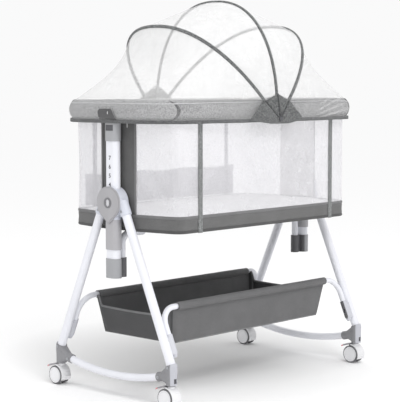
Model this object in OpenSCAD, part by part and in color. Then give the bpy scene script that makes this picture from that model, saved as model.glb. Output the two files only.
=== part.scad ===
// Bassinet on a rocking stand with castors, a height-adjustable basket bed and a folding net canopy.
// Millimetres. Origin on the floor under the middle of the bed, X along its length, +Z up.
// End A is at -X and end B at +X; the front is the -Y side.

/* [Stand] */
// Distance of each end frame from the middle
frame_x = 428; // [420:1:436]
// Half the spacing of the castor stems across the bed
stem_y = 230; // [224:1:236]
// Outer diameter of the leg tubes
leg_d = 26; // [25:0.5:27]
// Outer diameter of the rocker tubes
runner_d = 22; // [20:0.5:23]
// Height of the height-lock hubs
hub_z = 561; // [556:1:566]
// Radius of the hub drums
hub_r = 46; // [46:0.5:48]

/* [Castors] */
// Wheel radius
wheel_r = 28; // [27:0.5:28.5]
// Offset of the axle from the stem
trail = 11; // [9:0.5:12]

/* [Basket] */
// Half length of the storage basket
basket_x = 350; // [330:1:352]
// Height of the basket's side tubes
basket_z = 269; // [262:1:274]

/* [Bed] */
// Height of the underside of the base
base_z = 480; // [478:1:484]
// Height of the base band
base_h = 49; // [44:1:52]
// Half length of the base in the middle of its ends
base_x = 408; // [400:1:408]
// Half width of the base
base_y = 218; // [212:1:219]
// Height of the underside of the padded rail
rail_z = 795; // [793:1:797]
// Height of the padded rail
rail_h = 57; // [50:1:60]
// Spacing of the height positions
level_step = 25.4; // [24:0.2:25.4]

/* [Canopy] */
// Height of the middle hoop above its pivots
mid_hoop_h = 352; // [330:1:360]
// Reach of the left hoop from its pivots
left_hoop_h = 375; // [350:1:385]
// Reach of the right hoop from its pivots
right_hoop_h = 384; // [350:1:388]
// Tilt of the left hoop from upright
left_tilt = 44; // [40:1:46]
// Tilt of the right hoop from upright
right_tilt = 42.5; // [40:0.5:46]

/* [Hidden] */

$fn = 48;
gap = 0.4;                 // clearance between sliding pieces
fit = 0.05;                // radial clearance of pins and axles
wall = 1.5;                // wall of the steel tubes

white = [0.92, 0.92, 0.94];
light_grey = [0.78, 0.78, 0.80];
mid_grey = [0.68, 0.68, 0.70];
plastic_grey = [0.62, 0.63, 0.64];
dark_grey = [0.36, 0.36, 0.37];
heather = [0.69, 0.69, 0.70];
black = [0.12, 0.12, 0.13];

// Legs
leg_r = leg_d / 2;
leg_foot_y = 228;
leg_foot_z = 122;
leg_top_y = 53;
leg_top_z = 527;
leg_lean = atan2(leg_foot_y - leg_top_y, leg_top_z - leg_foot_z);
leg_len = norm([leg_foot_y - leg_top_y, leg_top_z - leg_foot_z]);
leg_insert = 28;
foot_insert = 12;
foot_screw_s = 6;
leg_sleeve_r = leg_r + 3.4;

// Rocker tubes: one arc, lowest in the middle
runner_r = runner_d / 2;
runner_low_z = 62;
runner_arc_r = 820;
runner_seen_y = 180;
runner_end_y = 204;
runner_sleeve_r = runner_r + 2.5;
function arc_angle(y) = asin(y / runner_arc_r);
function arc_z(y) = runner_low_z + runner_arc_r - sqrt(pow(runner_arc_r, 2) - y * y);

// Foot sockets
socket_z = 66;
boss_r = 15.5;
boss_h = 30;
scoop_r = 16;
scoop_y = 194;
scoop_z = 119;
release_w = 10;
release_t = 5;
release_h = 13;
release_z = 78;

// Castors
stem_r = 5;
stem_h = 27;
neck_r = 9.5;
fender_r = 30;
fender_t = 2.2;
fender_half_w = 17.5;
web_half_t = 3.5;
tyre_in = 7.2;
tyre_out = 18;
tyre_bead_r = 23.5;
disc_out = 18.8;
axle_r = 3;
pedal_pin_y = 8;
pedal_pin_z = 50;
pedal_pin_r = 2;
pedal_tip_y = 51;

// Height lock hubs
hub_in_x = 411;
hub_out_x = 446;
cover_t = 5.5;
cover_wall = 2.3;
knuckle_h = 42;
sleeve_z = 426;
button_r = 14.8;
button_travel = 2.5;
bolt_r = 3.9;
bolt_top_y = 40.9;
bolt_bottom_y = 28.5;
wedge_offset = 404.5;      // the wedge's centre line is y = x - wedge_offset
wedge_half = 2.2;

// Columns, oval in plan
column_w = 46.5;
column_t = 28;
column_z0 = 351;
column_z1 = 765;
column_wall = 1.6;
levels_up = 1;
levels_down = 5;
socket_w = 50.5;
socket_t = 33;
column_socket_z = 736.5;
cap_z = 344;
cap_h = 56;
window_half_w = 15;
window_z0 = 766;
window_z1 = 793;
rail_button_z = 783;

// Support tubes under the base
arm_x = 395;
arm_r = 10;
arm_bend_r = 30;
arm_end_x = 310;

// Basket
basket_tube_r = 8.5;
basket_top_y = leg_foot_y - (basket_z - leg_foot_z) * tan(leg_lean);
basket_low_y = 143;
basket_low_z = 154;
basket_skin = 2;
clip_x = 404;
clip_low = 18;
clip_len = 66;
tube_bend_r = 50;
tube_end_s = 62;
basket_tube_s = (basket_z - leg_foot_z) / cos(leg_lean);

// Base and walls
base_corner_x = 387;
base_corner_r = 35;
base_mid_y = 71;
band_wall = 3;
board_h = 11;
mattress_top = 530;
mesh_t = 1;
strap_x = 298;
strap_w = 17;
strap_t = 1.2;
pocket_x = 335;
pocket_d = 12;
pocket_z = 532;
pocket_h = 92;

// Rail
rail_x = 447;
rail_y = 238.5;
rail_w = 42;
rail_corner_r = 128;
rail_skin = 4;
rail_tube_r = 9.5;
rail_tube_x = 428;
rail_tube_y = 218;
rail_tube_corner = 105;
rail_tube_z = rail_z + rail_h / 2;
spigot_r = 8;
spigot_z = 776;

// Canopy
pivot_z = 796;
hoop_rod_r = 2;
hoop_stack = 4.4;
hoop_first_y = 246.5;
hoop_power = 2.3;
eyelet_r = 6;
pin_r = 3;
net_y = 260;
net_lift = 8;
net_end_x = 452;
net_end_power = 5.5;
net_shoulder = 83;
net_thin = 0.994;
net_sag = 0.09;
gusset_y = 262;
gusset_t = 1.5;

// ---------- helpers ----------
module end_side(s) {
    if (s < 0) mirror([1, 0, 0]) children();
    else children();
}

module front_rear(s) {
    if (s < 0) mirror([0, 1, 0]) children();
    else children();
}

module corner(sx, sy) {
    end_side(sx) front_rear(sy) children();
}

// Local frame on the leg of the +X +Y corner: origin at the foot end, +Z up along the leg
module on_leg() {
    translate([frame_x, leg_foot_y, leg_foot_z]) rotate([leg_lean, 0, 0]) children();
}

module along_x(r, x0, x1) {
    translate([x0, 0, 0]) rotate([0, 90, 0]) cylinder(r = r, h = x1 - x0);
}

module along_y(r, y0, y1) {
    translate([0, y0, 0]) rotate([-90, 0, 0]) cylinder(r = r, h = y1 - y0);
}

// Section swept about the X axis, from angle a0 to a1 measured from +Y towards +Z
module about_x(a0, a1) {
    rotate([90, 0, 90]) rotate([0, 0, a0]) rotate_extrude(angle = a1 - a0, $fn = 96) children();
}

// Oval with flat sides across Y and round ends, w along Y and t along X
module oval(w, t) {
    square([t, w - t], center = true);
    for (s = [-1, 1]) translate([0, s * (w - t) / 2]) circle(d = t);
}

module rounded_rect(hx, hy, r) {
    square([2 * hx, 2 * (hy - r)], center = true);
    square([2 * (hx - r), 2 * hy], center = true);
    for (sx = [-1, 1], sy = [-1, 1]) translate([sx * (hx - r), sy * (hy - r)]) circle(r = r, $fn = 64);
}

// ---------- end frames ----------
module leg(sx, sy) {
    color(white) corner(sx, sy) on_leg() difference() {
        translate([0, 0, -foot_insert]) cylinder(r = leg_r, h = foot_insert + leg_len + leg_insert);
        translate([0, 0, -foot_insert - 1]) cylinder(r = leg_r - wall, h = foot_insert + leg_len + leg_insert + 2);
        translate([0, 0, -foot_screw_s]) along_x(2.2, 0, leg_r + 1);
        translate([0, 0, leg_len + 12]) along_x(2.2, 0, leg_r + 1);
    }
}

module runner_arc(r, y0, y1) {
    translate([frame_x, 0, runner_low_z + runner_arc_r])
        about_x(270 + arc_angle(y0), 270 + arc_angle(y1)) translate([runner_arc_r, 0]) circle(r = r);
}

module rocker_tubes() {
    color(white) for (sx = [-1, 1]) end_side(sx) difference() {
        runner_arc(runner_r, -runner_end_y, runner_end_y);
        runner_arc(runner_r - wall, -runner_end_y - 2, runner_end_y + 2);
        for (s = [-1, 1]) translate([frame_x, s * (runner_seen_y + 9), arc_z(runner_seen_y + 9)])
            along_x(2.2, 0, runner_r + 1);
    }
}

module foot_socket(sx, sy) {
    color(plastic_grey) corner(sx, sy) difference() {
        union() {
            hull() {
                on_leg() translate([0, 0, -8]) cylinder(r = leg_sleeve_r, h = 8, $fn = 32);
                translate([frame_x, stem_y, socket_z]) cylinder(r = boss_r, h = boss_h, $fn = 32);
            }
            hull() {
                translate([frame_x, stem_y - 2, socket_z + 4]) cylinder(r = boss_r - 1.5, h = boss_h, $fn = 32);
                runner_arc(runner_sleeve_r, runner_end_y - 6, runner_end_y - 4, $fn = 32);
            }
            difference() {
                hull() {
                    on_leg() translate([0, 0, -4]) cylinder(r = leg_sleeve_r - 2, h = 2, $fn = 32);
                    runner_arc(runner_sleeve_r - 2, runner_end_y - 12, runner_end_y - 10, $fn = 32);
                    translate([frame_x, stem_y, socket_z + 20]) cylinder(r = 10, h = 4, $fn = 32);
                }
                translate([0, scoop_y, scoop_z]) along_x(scoop_r, frame_x - 30, frame_x + 30);
            }
            runner_arc(runner_sleeve_r, runner_seen_y, runner_end_y);
        }
        on_leg() translate([0, 0, -foot_insert - 0.5]) cylinder(r = leg_r + fit, h = foot_insert + 20);
        runner_arc(runner_r + fit, runner_seen_y - 6, runner_end_y + 0.5);
        translate([frame_x, stem_y, socket_z - 1]) cylinder(r = stem_r + fit, h = stem_h - 2);
        translate([frame_x - release_w / 2 - gap, stem_y + 6.4, release_z - release_h / 2 - gap])
            cube([release_w + 2 * gap, 20, release_h + 2 * gap]);
        on_leg() translate([0, 0, -foot_screw_s]) along_x(2.2, 0, 30);
        translate([frame_x, runner_seen_y + 9, arc_z(runner_seen_y + 9)]) along_x(2.2, 0, 30);
    }
}

module castor_release(sx, sy) {
    color(dark_grey) corner(sx, sy) difference() {
        translate([frame_x - release_w / 2, stem_y + 9, release_z - release_h / 2])
            cube([release_w, release_t, release_h]);
        translate([frame_x, stem_y + 9 + release_t + 2.2, release_z]) along_x(4, -release_w, release_w);
    }
}

// ---------- height lock hubs ----------
module hub_housing(sx) {
    color(light_grey) end_side(sx) difference() {
        union() {
            translate([0, 0, hub_z]) along_x(hub_r - 1.5, hub_in_x, hub_out_x);
            translate([0, 0, hub_z]) along_x(hub_r, hub_in_x + 1.5, hub_out_x);
            for (s = [-1, 1]) front_rear(s) on_leg() translate([0, 0, leg_len])
                cylinder(r = leg_sleeve_r, h = knuckle_h);
            translate([frame_x, 0, sleeve_z]) linear_extrude(hub_z - sleeve_z) oval(socket_w + 0.5, socket_t);
        }
        translate([frame_x, 0, sleeve_z - 1]) linear_extrude(hub_z + hub_r - sleeve_z + 2)
            oval(column_w + 2 * gap, column_t + 2 * gap);
        for (s = [-1, 1]) front_rear(s) on_leg() {
            translate([0, 0, leg_len - 1]) cylinder(r = leg_r + fit, h = leg_insert + 1.2);
            translate([0, 0, leg_len + 12]) along_x(2.2, 0, 30);
        }
        translate([0, 0, hub_z]) along_x(button_r + gap, hub_out_x - 5, hub_out_x + 1);
        translate([hub_in_x + 5, column_w / 2, hub_z - 6.6])
            cube([hub_out_x - hub_in_x, 43.8 - column_w / 2, 13.2]);
        translate([hub_out_x - 2.1, 0, hub_z - 4.6]) cube([4, column_w / 2 + 1, 9.2]);
    }
}

module teardrop(grow) {
    hull() {
        circle(r = hub_r + 1 + grow, $fn = 64);
        translate([0, -53]) circle(r = 6 + grow, $fn = 24);
    }
}

// Outline drawn in Y and Z, pushed out along X
module along_x_plate(x0, t) {
    translate([x0, 0, hub_z]) rotate([90, 0, 90]) linear_extrude(t) children();
}

module hub_covers() {
    color(mid_grey) for (sx = [-1, 1]) end_side(sx) difference() {
        union() {
            along_x_plate(hub_out_x, cover_t - 2) teardrop(0);
            along_x_plate(hub_out_x + cover_t - 2, 2) teardrop(-3.5);
        }
        translate([0, 0, hub_z]) along_x(hub_r - 2, hub_out_x - 1, hub_out_x + cover_t - cover_wall);
        translate([0, 0, hub_z]) along_x(button_r + gap, hub_out_x, hub_out_x + cover_t + 1);
    }
}

module height_button(sx) {
    plate_x = hub_out_x + 0.9;
    color(mid_grey) end_side(sx) translate([0, 0, hub_z]) {
        difference() {
            along_x(button_r, plate_x, hub_out_x + cover_t + 1);
            translate([0, 0, 0]) rotate([90, 0, 90]) translate([0, 0, plate_x + 2.5])
                linear_extrude(10) oval(20, 13);
        }
        translate([plate_x, 0, -4]) cube([2, 42.9, 8]);
        translate([0, 0, -4]) linear_extrude(8) polygon([
            [436, 436 - wedge_offset - wedge_half],
            [plate_x + 0.1, plate_x + 0.1 - wedge_offset - wedge_half],
            [plate_x + 0.1, 42.9],
            [42.9 + wedge_offset - wedge_half, 42.9],
            [436, 436 - wedge_offset + wedge_half]]);
    }
}

module lock_bolt(sx) {
    slot_half = wedge_half + 0.45;
    color(light_grey) end_side(sx) translate([0, 0, hub_z]) difference() {
        union() {
            translate([frame_x, 0, 0]) along_y(bolt_r, column_w / 2 + 0.45, bolt_bottom_y + 3);
            translate([frame_x - 4.5, bolt_bottom_y, -6]) cube([18, bolt_top_y - bolt_bottom_y, 12]);
        }
        translate([0, 0, -4.5]) linear_extrude(9) polygon([
            [433, 433 - wedge_offset - slot_half], [443, 443 - wedge_offset - slot_half],
            [443, 443 - wedge_offset + slot_half], [433, 433 - wedge_offset + slot_half]]);
    }
}

// ---------- castors ----------
module on_castor(sx, sy) {
    translate([sx * frame_x, sy * stem_y, 0]) children();
}

module on_axle() {
    translate([0, trail, wheel_r]) children();
}

module castor_fork(sx, sy) {
    color(white) on_castor(sx, sy) difference() {
        union() {
            on_axle() about_x(90, 205) translate([fender_r, -fender_half_w])
                square([fender_t, 2 * fender_half_w]);
            on_axle() about_x(100, 205) translate([6, -web_half_t])
                square([fender_r - 5, 2 * web_half_t]);
            on_axle() along_x(8, -web_half_t, web_half_t);
            translate([0, pedal_pin_y, pedal_pin_z]) along_x(5, -web_half_t, web_half_t);
            translate([0, 0, 46]) cylinder(r = 5, h = 14);
            translate([0, 0, 57]) cylinder(r = neck_r, h = 5.5);
            translate([0, 0, 60]) cylinder(r = stem_r, h = stem_h);
        }
        on_axle() along_x(axle_r + fit, -20, 20);
        translate([0, pedal_pin_y, pedal_pin_z]) along_x(pedal_pin_r + fit, -20, 20);
        for (s = [-1, 1]) on_axle() along_x(fender_r - 0.6, s > 0 ? tyre_in - gap : -20, s > 0 ? 20 : gap - tyre_in);
    }
}

module castor_tyres(sx, sy) {
    color(mid_grey) on_castor(sx, sy) on_axle() for (s = [-1, 1]) end_side(s)
        about_x(0, 360) polygon([[tyre_bead_r, tyre_in], [wheel_r - 1.5, tyre_in], [wheel_r, tyre_in + 1.5],
            [wheel_r, tyre_out - 2], [wheel_r - 2, tyre_out], [tyre_bead_r, tyre_out]]);
}

module castor_discs(sx, sy) {
    color(white) on_castor(sx, sy) on_axle() {
        for (s = [-1, 1]) end_side(s) {
            difference() {
                along_x(tyre_bead_r - fit, tyre_in + 0.4, disc_out);
                along_x(tyre_bead_r - 3, disc_out - 1, disc_out + 1);
            }
            along_x(tyre_bead_r - 5, tyre_in + 1, disc_out - 0.2);
        }
        along_x(axle_r, -tyre_in - 1, tyre_in + 1);
    }
}

module brake_pedal(sx, sy) {
    color(plastic_grey) on_castor(sx, sy) {
        translate([-13, 0, 0]) rotate([90, 0, 90]) linear_extrude(26) polygon([
            [15, 59.3], [pedal_tip_y - 1, 48.6], [pedal_tip_y, 49.6], [pedal_tip_y - 2, 52.4],
            [40, 57], [22, 61.5], [16, 62.8]]);
        for (s = [-1, 1]) end_side(s) translate([web_half_t + gap, 0, 0]) rotate([90, 0, 90])
            linear_extrude(2.9) polygon([[4, 47], [5, 53], [15, 60.5], [26, 57.5], [15, 47], [10, 45.5]]);
        translate([0, pedal_pin_y, pedal_pin_z]) along_x(pedal_pin_r, -web_half_t - 2, web_half_t + 2);
    }
}

// ---------- storage basket ----------
// Tube in the plane of the legs, whose +Z runs up them: straight along X, then bent down into the clips
module basket_tube(r, low_s) {
    straight_x = clip_x - tube_bend_r;
    bend_s = basket_tube_s - tube_bend_r;
    translate([0, 0, basket_tube_s]) along_x(r, -straight_x, straight_x);
    for (sx = [-1, 1]) end_side(sx) {
        translate([straight_x, 0, bend_s]) rotate([90, 0, 0])
            rotate_extrude(angle = 90, $fn = 96) translate([tube_bend_r, 0]) circle(r = r);
        translate([clip_x, 0, low_s]) cylinder(r = r, h = bend_s - low_s);
    }
}

module basket_tubes() {
    color(white) for (sy = [-1, 1]) front_rear(sy)
        translate([0, leg_foot_y, leg_foot_z]) rotate([leg_lean, 0, 0]) difference() {
            basket_tube(basket_tube_r, tube_end_s);
            basket_tube(basket_tube_r - wall, tube_end_s - 1);
        }
}

module basket_clips() {
    color(plastic_grey) for (sx = [-1, 1], sy = [-1, 1]) corner(sx, sy) on_leg() difference() {
        union() {
            hull() {
                translate([clip_x - frame_x, 0, clip_low]) cylinder(r = 6, h = 1, $fn = 32);
                translate([clip_x - frame_x, 0, clip_low + 14])
                    cylinder(r = basket_tube_r + 2.4, h = clip_len - 14, $fn = 32);
            }
            translate([clip_x - frame_x, -9, clip_low + 8]) cube([frame_x - clip_x, 18, clip_len - 16]);
        }
        translate([0, 0, clip_low - 1]) cylinder(r = leg_r + fit, h = clip_len + 2);
        translate([clip_x - frame_x, 0, tube_end_s - 20]) cylinder(r = basket_tube_r + fit, h = clip_len);
        translate([clip_x - frame_x - 14, -3.5, clip_low + 24]) cube([8, 7, 16]);
    }
}

module basket_outline(inset) {
    hull() for (sx = [-1, 1], sy = [-1, 1]) {
        translate([sx * (basket_x - 8 - inset), sy * (basket_low_y - 12 - inset), basket_low_z + 10 + inset])
            sphere(r = 10, $fn = 24);
        translate([sx * (basket_x - 2 - inset), sy * (basket_top_y - 12 - inset), basket_z - 10])
            cylinder(r = 2, h = inset > 0 ? 20 : 10, $fn = 16);
    }
}

module basket() {
    color(dark_grey) difference() {
        union() {
            difference() {
                basket_outline(0);
                basket_outline(basket_skin);
                translate([-basket_x - 5, 20 - basket_top_y, basket_z - 32]) cube([2 * basket_x + 10, 2 * basket_top_y - 40, 60]);
            }
            for (sy = [-1, 1]) translate([0, sy * basket_top_y, basket_z])
                along_x(basket_tube_r + 2.2, -basket_x + 4, basket_x - 4);
        }
        for (sy = [-1, 1]) translate([0, sy * basket_top_y, basket_z])
            along_x(basket_tube_r + 0.3, -basket_x, basket_x);
    }
}

module screw(reach) {
    along_x(2, reach - 7, reach);
    difference() {
        along_x(3.8, reach, reach + 1.7);
        along_x(1.6, reach + 0.8, reach + 2);
    }
}

module stand_screws() {
    color(plastic_grey) for (sx = [-1, 1], sy = [-1, 1]) corner(sx, sy) {
        on_leg() translate([0, 0, -foot_screw_s]) screw(leg_sleeve_r);
        on_leg() translate([0, 0, leg_len + 12]) screw(leg_sleeve_r);
        translate([frame_x, runner_seen_y + 9, arc_z(runner_seen_y + 9)]) screw(runner_sleeve_r);
    }
}

// ---------- columns ----------
module columns() {
    color(white) for (sx = [-1, 1]) end_side(sx) translate([frame_x, 0, 0]) difference() {
        translate([0, 0, column_z0]) linear_extrude(column_z1 - column_z0) oval(column_w, column_t);
        translate([0, 0, column_z0 - 1]) linear_extrude(column_z1 - column_z0 + 2)
            oval(column_w - 2 * column_wall, column_t - 2 * column_wall);
        for (i = [-levels_up:levels_down]) translate([0, 0, hub_z + i * level_step])
            along_y(bolt_r + 0.1, column_w / 2 - 5, column_w / 2 + 1);
    }
}

module column_sockets() {
    top_z = rail_z - 0.4;
    color(plastic_grey) for (sx = [-1, 1]) end_side(sx) translate([frame_x, 0, 0]) difference() {
        translate([0, 0, column_socket_z]) linear_extrude(top_z - column_socket_z) oval(socket_w, socket_t);
        translate([0, 0, column_socket_z - 1]) linear_extrude(column_z1 - column_socket_z + 1.1)
            oval(column_w + 2 * fit, column_t + 2 * fit);
        translate([0, 0, spigot_z - 0.5]) cylinder(r = spigot_r + fit, h = 40);
        translate([socket_t / 2 - 5, -window_half_w, window_z0])
            cube([10, 2 * window_half_w, window_z1 - window_z0]);
        translate([socket_t / 2 - 8, -window_half_w, rail_button_z - gap])
            cube([10, 2 * window_half_w, window_z1 - rail_button_z + gap]);
    }
}

module rail_release(sx) {
    color(mid_grey) end_side(sx) translate([frame_x + socket_t / 2 - 4.6, -window_half_w + gap, rail_button_z])
        difference() {
            cube([4, 2 * (window_half_w - gap), window_z1 - rail_button_z - gap]);
            for (i = [0:4]) translate([3.4, 4.6 + i * 5, 1.5]) cube([1, 1.4, 6.6]);
        }
}

module column_caps() {
    color(plastic_grey) for (sx = [-1, 1]) end_side(sx) difference() {
        union() {
            translate([frame_x, 0, cap_z]) linear_extrude(cap_h) oval(socket_w, socket_t);
            translate([arm_x, 0, cap_z]) cylinder(r = arm_r + 3, h = cap_h);
            translate([arm_x, -9, cap_z]) cube([frame_x - arm_x, 18, cap_h]);
        }
        translate([frame_x, 0, column_z0 - 0.1]) linear_extrude(cap_h) oval(column_w + 2 * fit, column_t + 2 * fit);
        translate([arm_x, 0, column_z0 - 0.1]) cylinder(r = arm_r + fit, h = cap_h);
    }
}

module bent_arm(r) {
    bend_z = base_z - 1 - arm_r - arm_bend_r;
    translate([arm_x, 0, column_z0]) cylinder(r = r, h = bend_z - column_z0);
    translate([arm_x - arm_bend_r, 0, bend_z]) rotate([90, 0, 0])
        rotate_extrude(angle = 90, $fn = 96) translate([arm_bend_r, 0]) circle(r = r);
    translate([0, 0, bend_z + arm_bend_r]) along_x(r, arm_end_x, arm_x - arm_bend_r);
}

module support_tubes() {
    color(white) for (sx = [-1, 1]) end_side(sx) difference() {
        union() {
            bent_arm(arm_r);
            translate([arm_end_x - 6, -25, base_z - 3.2]) cube([50, 50, 2.8]);
        }
        bent_arm(arm_r - wall);
        translate([arm_x, 0, column_z0 - 1]) cylinder(r = arm_r - wall, h = 10);
    }
}

// ---------- rail ----------
// Ring of tube with a spigot at each end that plugs into the column socket
module rail_ring(r, spigot, low_z) {
    for (sx = [-1, 1], sy = [-1, 1]) corner(sx, sy)
        translate([rail_tube_x - rail_tube_corner, rail_tube_y - rail_tube_corner, rail_tube_z])
            rotate_extrude(angle = 90, $fn = 96) translate([rail_tube_corner, 0]) circle(r = r);
    for (sy = [-1, 1]) translate([0, sy * rail_tube_y, rail_tube_z])
        along_x(r, rail_tube_corner - rail_tube_x, rail_tube_x - rail_tube_corner);
    for (sx = [-1, 1]) {
        translate([sx * rail_tube_x, 0, rail_tube_z])
            along_y(r, rail_tube_corner - rail_tube_y, rail_tube_y - rail_tube_corner);
        translate([sx * rail_tube_x, 0, low_z]) cylinder(r = spigot, h = rail_tube_z - low_z);
    }
}

module rail_frame() {
    color(light_grey) difference() {
        rail_ring(rail_tube_r, spigot_r, spigot_z);
        rail_ring(rail_tube_r - wall, spigot_r - wall, spigot_z - 1);
    }
}

module rail_band(grow) {
    difference() {
        rounded_rect(rail_x + grow, rail_y + grow, rail_corner_r + grow);
        rounded_rect(rail_x - rail_w - grow, rail_y - rail_w - grow, rail_corner_r - rail_w - grow);
    }
}

module rail_cover() {
    color(heather) difference() {
        translate([0, 0, rail_z]) linear_extrude(rail_h) rail_band(0);
        translate([0, 0, rail_z + rail_skin]) linear_extrude(rail_h - 2 * rail_skin) rail_band(-rail_skin);
        for (sx = [-1, 1]) translate([sx * rail_tube_x, 0, rail_z - 1]) cylinder(r = spigot_r + 0.5, h = 20);
    }
}

// ---------- base, walls and mattress ----------
module base_outline(inset) {
    hull() {
        square([2 * (base_x - inset), 2 * (base_mid_y - inset / 2)], center = true);
        for (sx = [-1, 1], sy = [-1, 1])
            translate([sx * (base_corner_x - base_corner_r), sy * (base_y - base_corner_r)])
                circle(r = base_corner_r - inset, $fn = 32);
    }
}

module base_band() {
    color(dark_grey) difference() {
        translate([0, 0, base_z]) linear_extrude(base_h) base_outline(0);
        translate([0, 0, base_z + 2]) linear_extrude(base_h) base_outline(band_wall);
    }
}

module base_board() {
    color(plastic_grey) translate([0, 0, base_z + 2.2]) linear_extrude(board_h) base_outline(band_wall + 1);
}

module mattress() {
    low_z = base_z + 2.2 + board_h + 0.2;
    color(white) translate([0, 0, low_z]) linear_extrude(mattress_top - low_z) base_outline(band_wall + 2);
}

// Corners of the wall, one quarter of the way round, from the end towards the long side
function wall_quarter() = [[base_x, base_mid_y], [base_corner_x - 1, base_y - 36], [base_corner_x - 11, base_y - 11],
    [base_corner_x - 36, base_y - 1]];

module wall_panel(a, b) {
    d = (b - a) / norm(b - a);
    n = [d[1], -d[0]];
    p = a + d * 0.3;
    q = b - d * 0.3;
    translate([0, 0, base_z + base_h + 0.4]) linear_extrude(rail_z - base_z - base_h - 0.8)
        polygon([p, q, q - n * mesh_t, p - n * mesh_t]);
}

module mesh_walls() {
    w = wall_quarter();
    color(white) {
        for (sx = [-1, 1], sy = [-1, 1], i = [0:2]) corner(sx, sy) wall_panel(w[i + 1], w[i]);
        for (sy = [-1, 1]) front_rear(sy) wall_panel([-w[3][0], w[3][1]], [w[3][0], w[3][1]]);
    }
}

module end_panels() {
    color(dark_grey) for (sx = [-1, 1]) end_side(sx)
        translate([base_x - 1.5, 0.5 - base_mid_y, base_z + base_h + 0.4])
            cube([1.5, 2 * base_mid_y - 1, rail_z - base_z - base_h - 0.8]);
}

module straps() {
    color(dark_grey) for (sx = [-1, 1], sy = [-1, 1]) corner(sx, sy)
        translate([strap_x - strap_w / 2, base_y + 0.3, base_z + 1])
            cube([strap_w, strap_t, rail_z - base_z - 1.4]);
}

module storage_pocket() {
    y0 = base_y + strap_t + 0.8;
    color(heather) difference() {
        translate([-pocket_x, y0, pocket_z]) cube([2 * pocket_x, pocket_d, pocket_h]);
        for (i = [-1:1]) translate([i * 2 * pocket_x / 3 - pocket_x / 3 + 1, y0 + 1, pocket_z + 1.2])
            cube([2 * pocket_x / 3 - 2, pocket_d - 2, pocket_h]);
    }
}

// ---------- canopy ----------
function super_height(f, power) = pow(max(0, 1 - pow(f, power)), 1 / power);

// Rod swept along a hoop of half width a and height b in the YZ plane, 8-sided
module hoop_rod(a, b) {
    rings = 44;
    sides = 8;
    function at(t) = [0, -a * sign(cos(t)) * pow(abs(cos(t)), 2 / hoop_power), b * pow(abs(sin(t)), 2 / hoop_power)];
    arch = [for (i = [0:rings]) at(2 + 176 * i / rings)];
    path = concat([[0, -a, eyelet_r - 1.5]], arch, [[0, a, eyelet_r - 1.5]]);
    last = len(path) - 1;
    function heading(i) = path[min(i + 1, last)] - path[max(i - 1, 0)];
    pts = [for (i = [0:last]) let (h = heading(i), d = h / norm(h), n = [0, -d[2], d[1]])
        for (k = [0:sides - 1]) path[i] + hoop_rod_r * (n * cos(k * 360 / sides) + [1, 0, 0] * sin(k * 360 / sides))];
    faces = concat(
        [[for (k = [0:sides - 1]) k]],
        [for (i = [0:last - 1], k = [0:sides - 1]) let (m = (k + 1) % sides)
            each [[i * sides + k, (i + 1) * sides + k, (i + 1) * sides + m],
                [i * sides + k, (i + 1) * sides + m, i * sides + m]]],
        [[for (k = [sides - 1:-1:0]) last * sides + k]]);
    polyhedron(pts, faces, convexity = 4);
}

// Place in the pivot stack: 0 is nearest the rail
module hoop(place, tilt, height) {
    a = hoop_first_y + place * hoop_stack;
    color(dark_grey) translate([0, 0, pivot_z]) rotate([0, tilt, 0]) difference() {
        union() {
            hoop_rod(a, height);
            for (s = [-1, 1]) front_rear(s) along_y(eyelet_r, a - 1.9, a + 1.9);
        }
        for (s = [-1, 1]) front_rear(s) along_y(pin_r + fit, a - 4, a + 4);
    }
}

module hoop_pins() {
    color(black) for (s = [-1, 1]) front_rear(s) translate([0, 0, pivot_z]) {
        along_y(pin_r, rail_y + 0.4, gusset_y + gusset_t);
        along_y(eyelet_r + 1, gusset_y + gusset_t, gusset_y + gusset_t + 2.8);
        translate([-14, rail_y + 0.4, -8]) cube([28, 3, 22]);
    }
}

// Reach of the net from the pivot axis at tilt q, where f is the place across the bed, 0 to 1
function chord(r1, q1, r2, q2, q) = sin(q2 - q1) / (sin(q2 - q) / r1 + sin(q - q1) / r2);
function net_reach(q, f) = let (s = abs(q), low = 0.001,
    tilt = q < 0 ? left_tilt : right_tilt,
    outer_h = (q < 0 ? left_hoop_h : right_hoop_h) + net_lift,
    outer = outer_h * super_height(f, hoop_power) + low,
    mid = (mid_hoop_h + net_lift) * super_height(f, hoop_power) + low,
    edge = net_end_x * super_height(f, net_end_power) + low)
    s <= tilt ? chord(mid, 0, outer, tilt, s)
    : s <= net_shoulder ? let (u = (s - tilt) / (net_shoulder - tilt))
        chord(outer, tilt, edge / sin(net_shoulder), net_shoulder, s)
            * (1 - net_sag * 4 * u * (1 - u) * (1 - f * f))
    : edge / sin(s);

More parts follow.
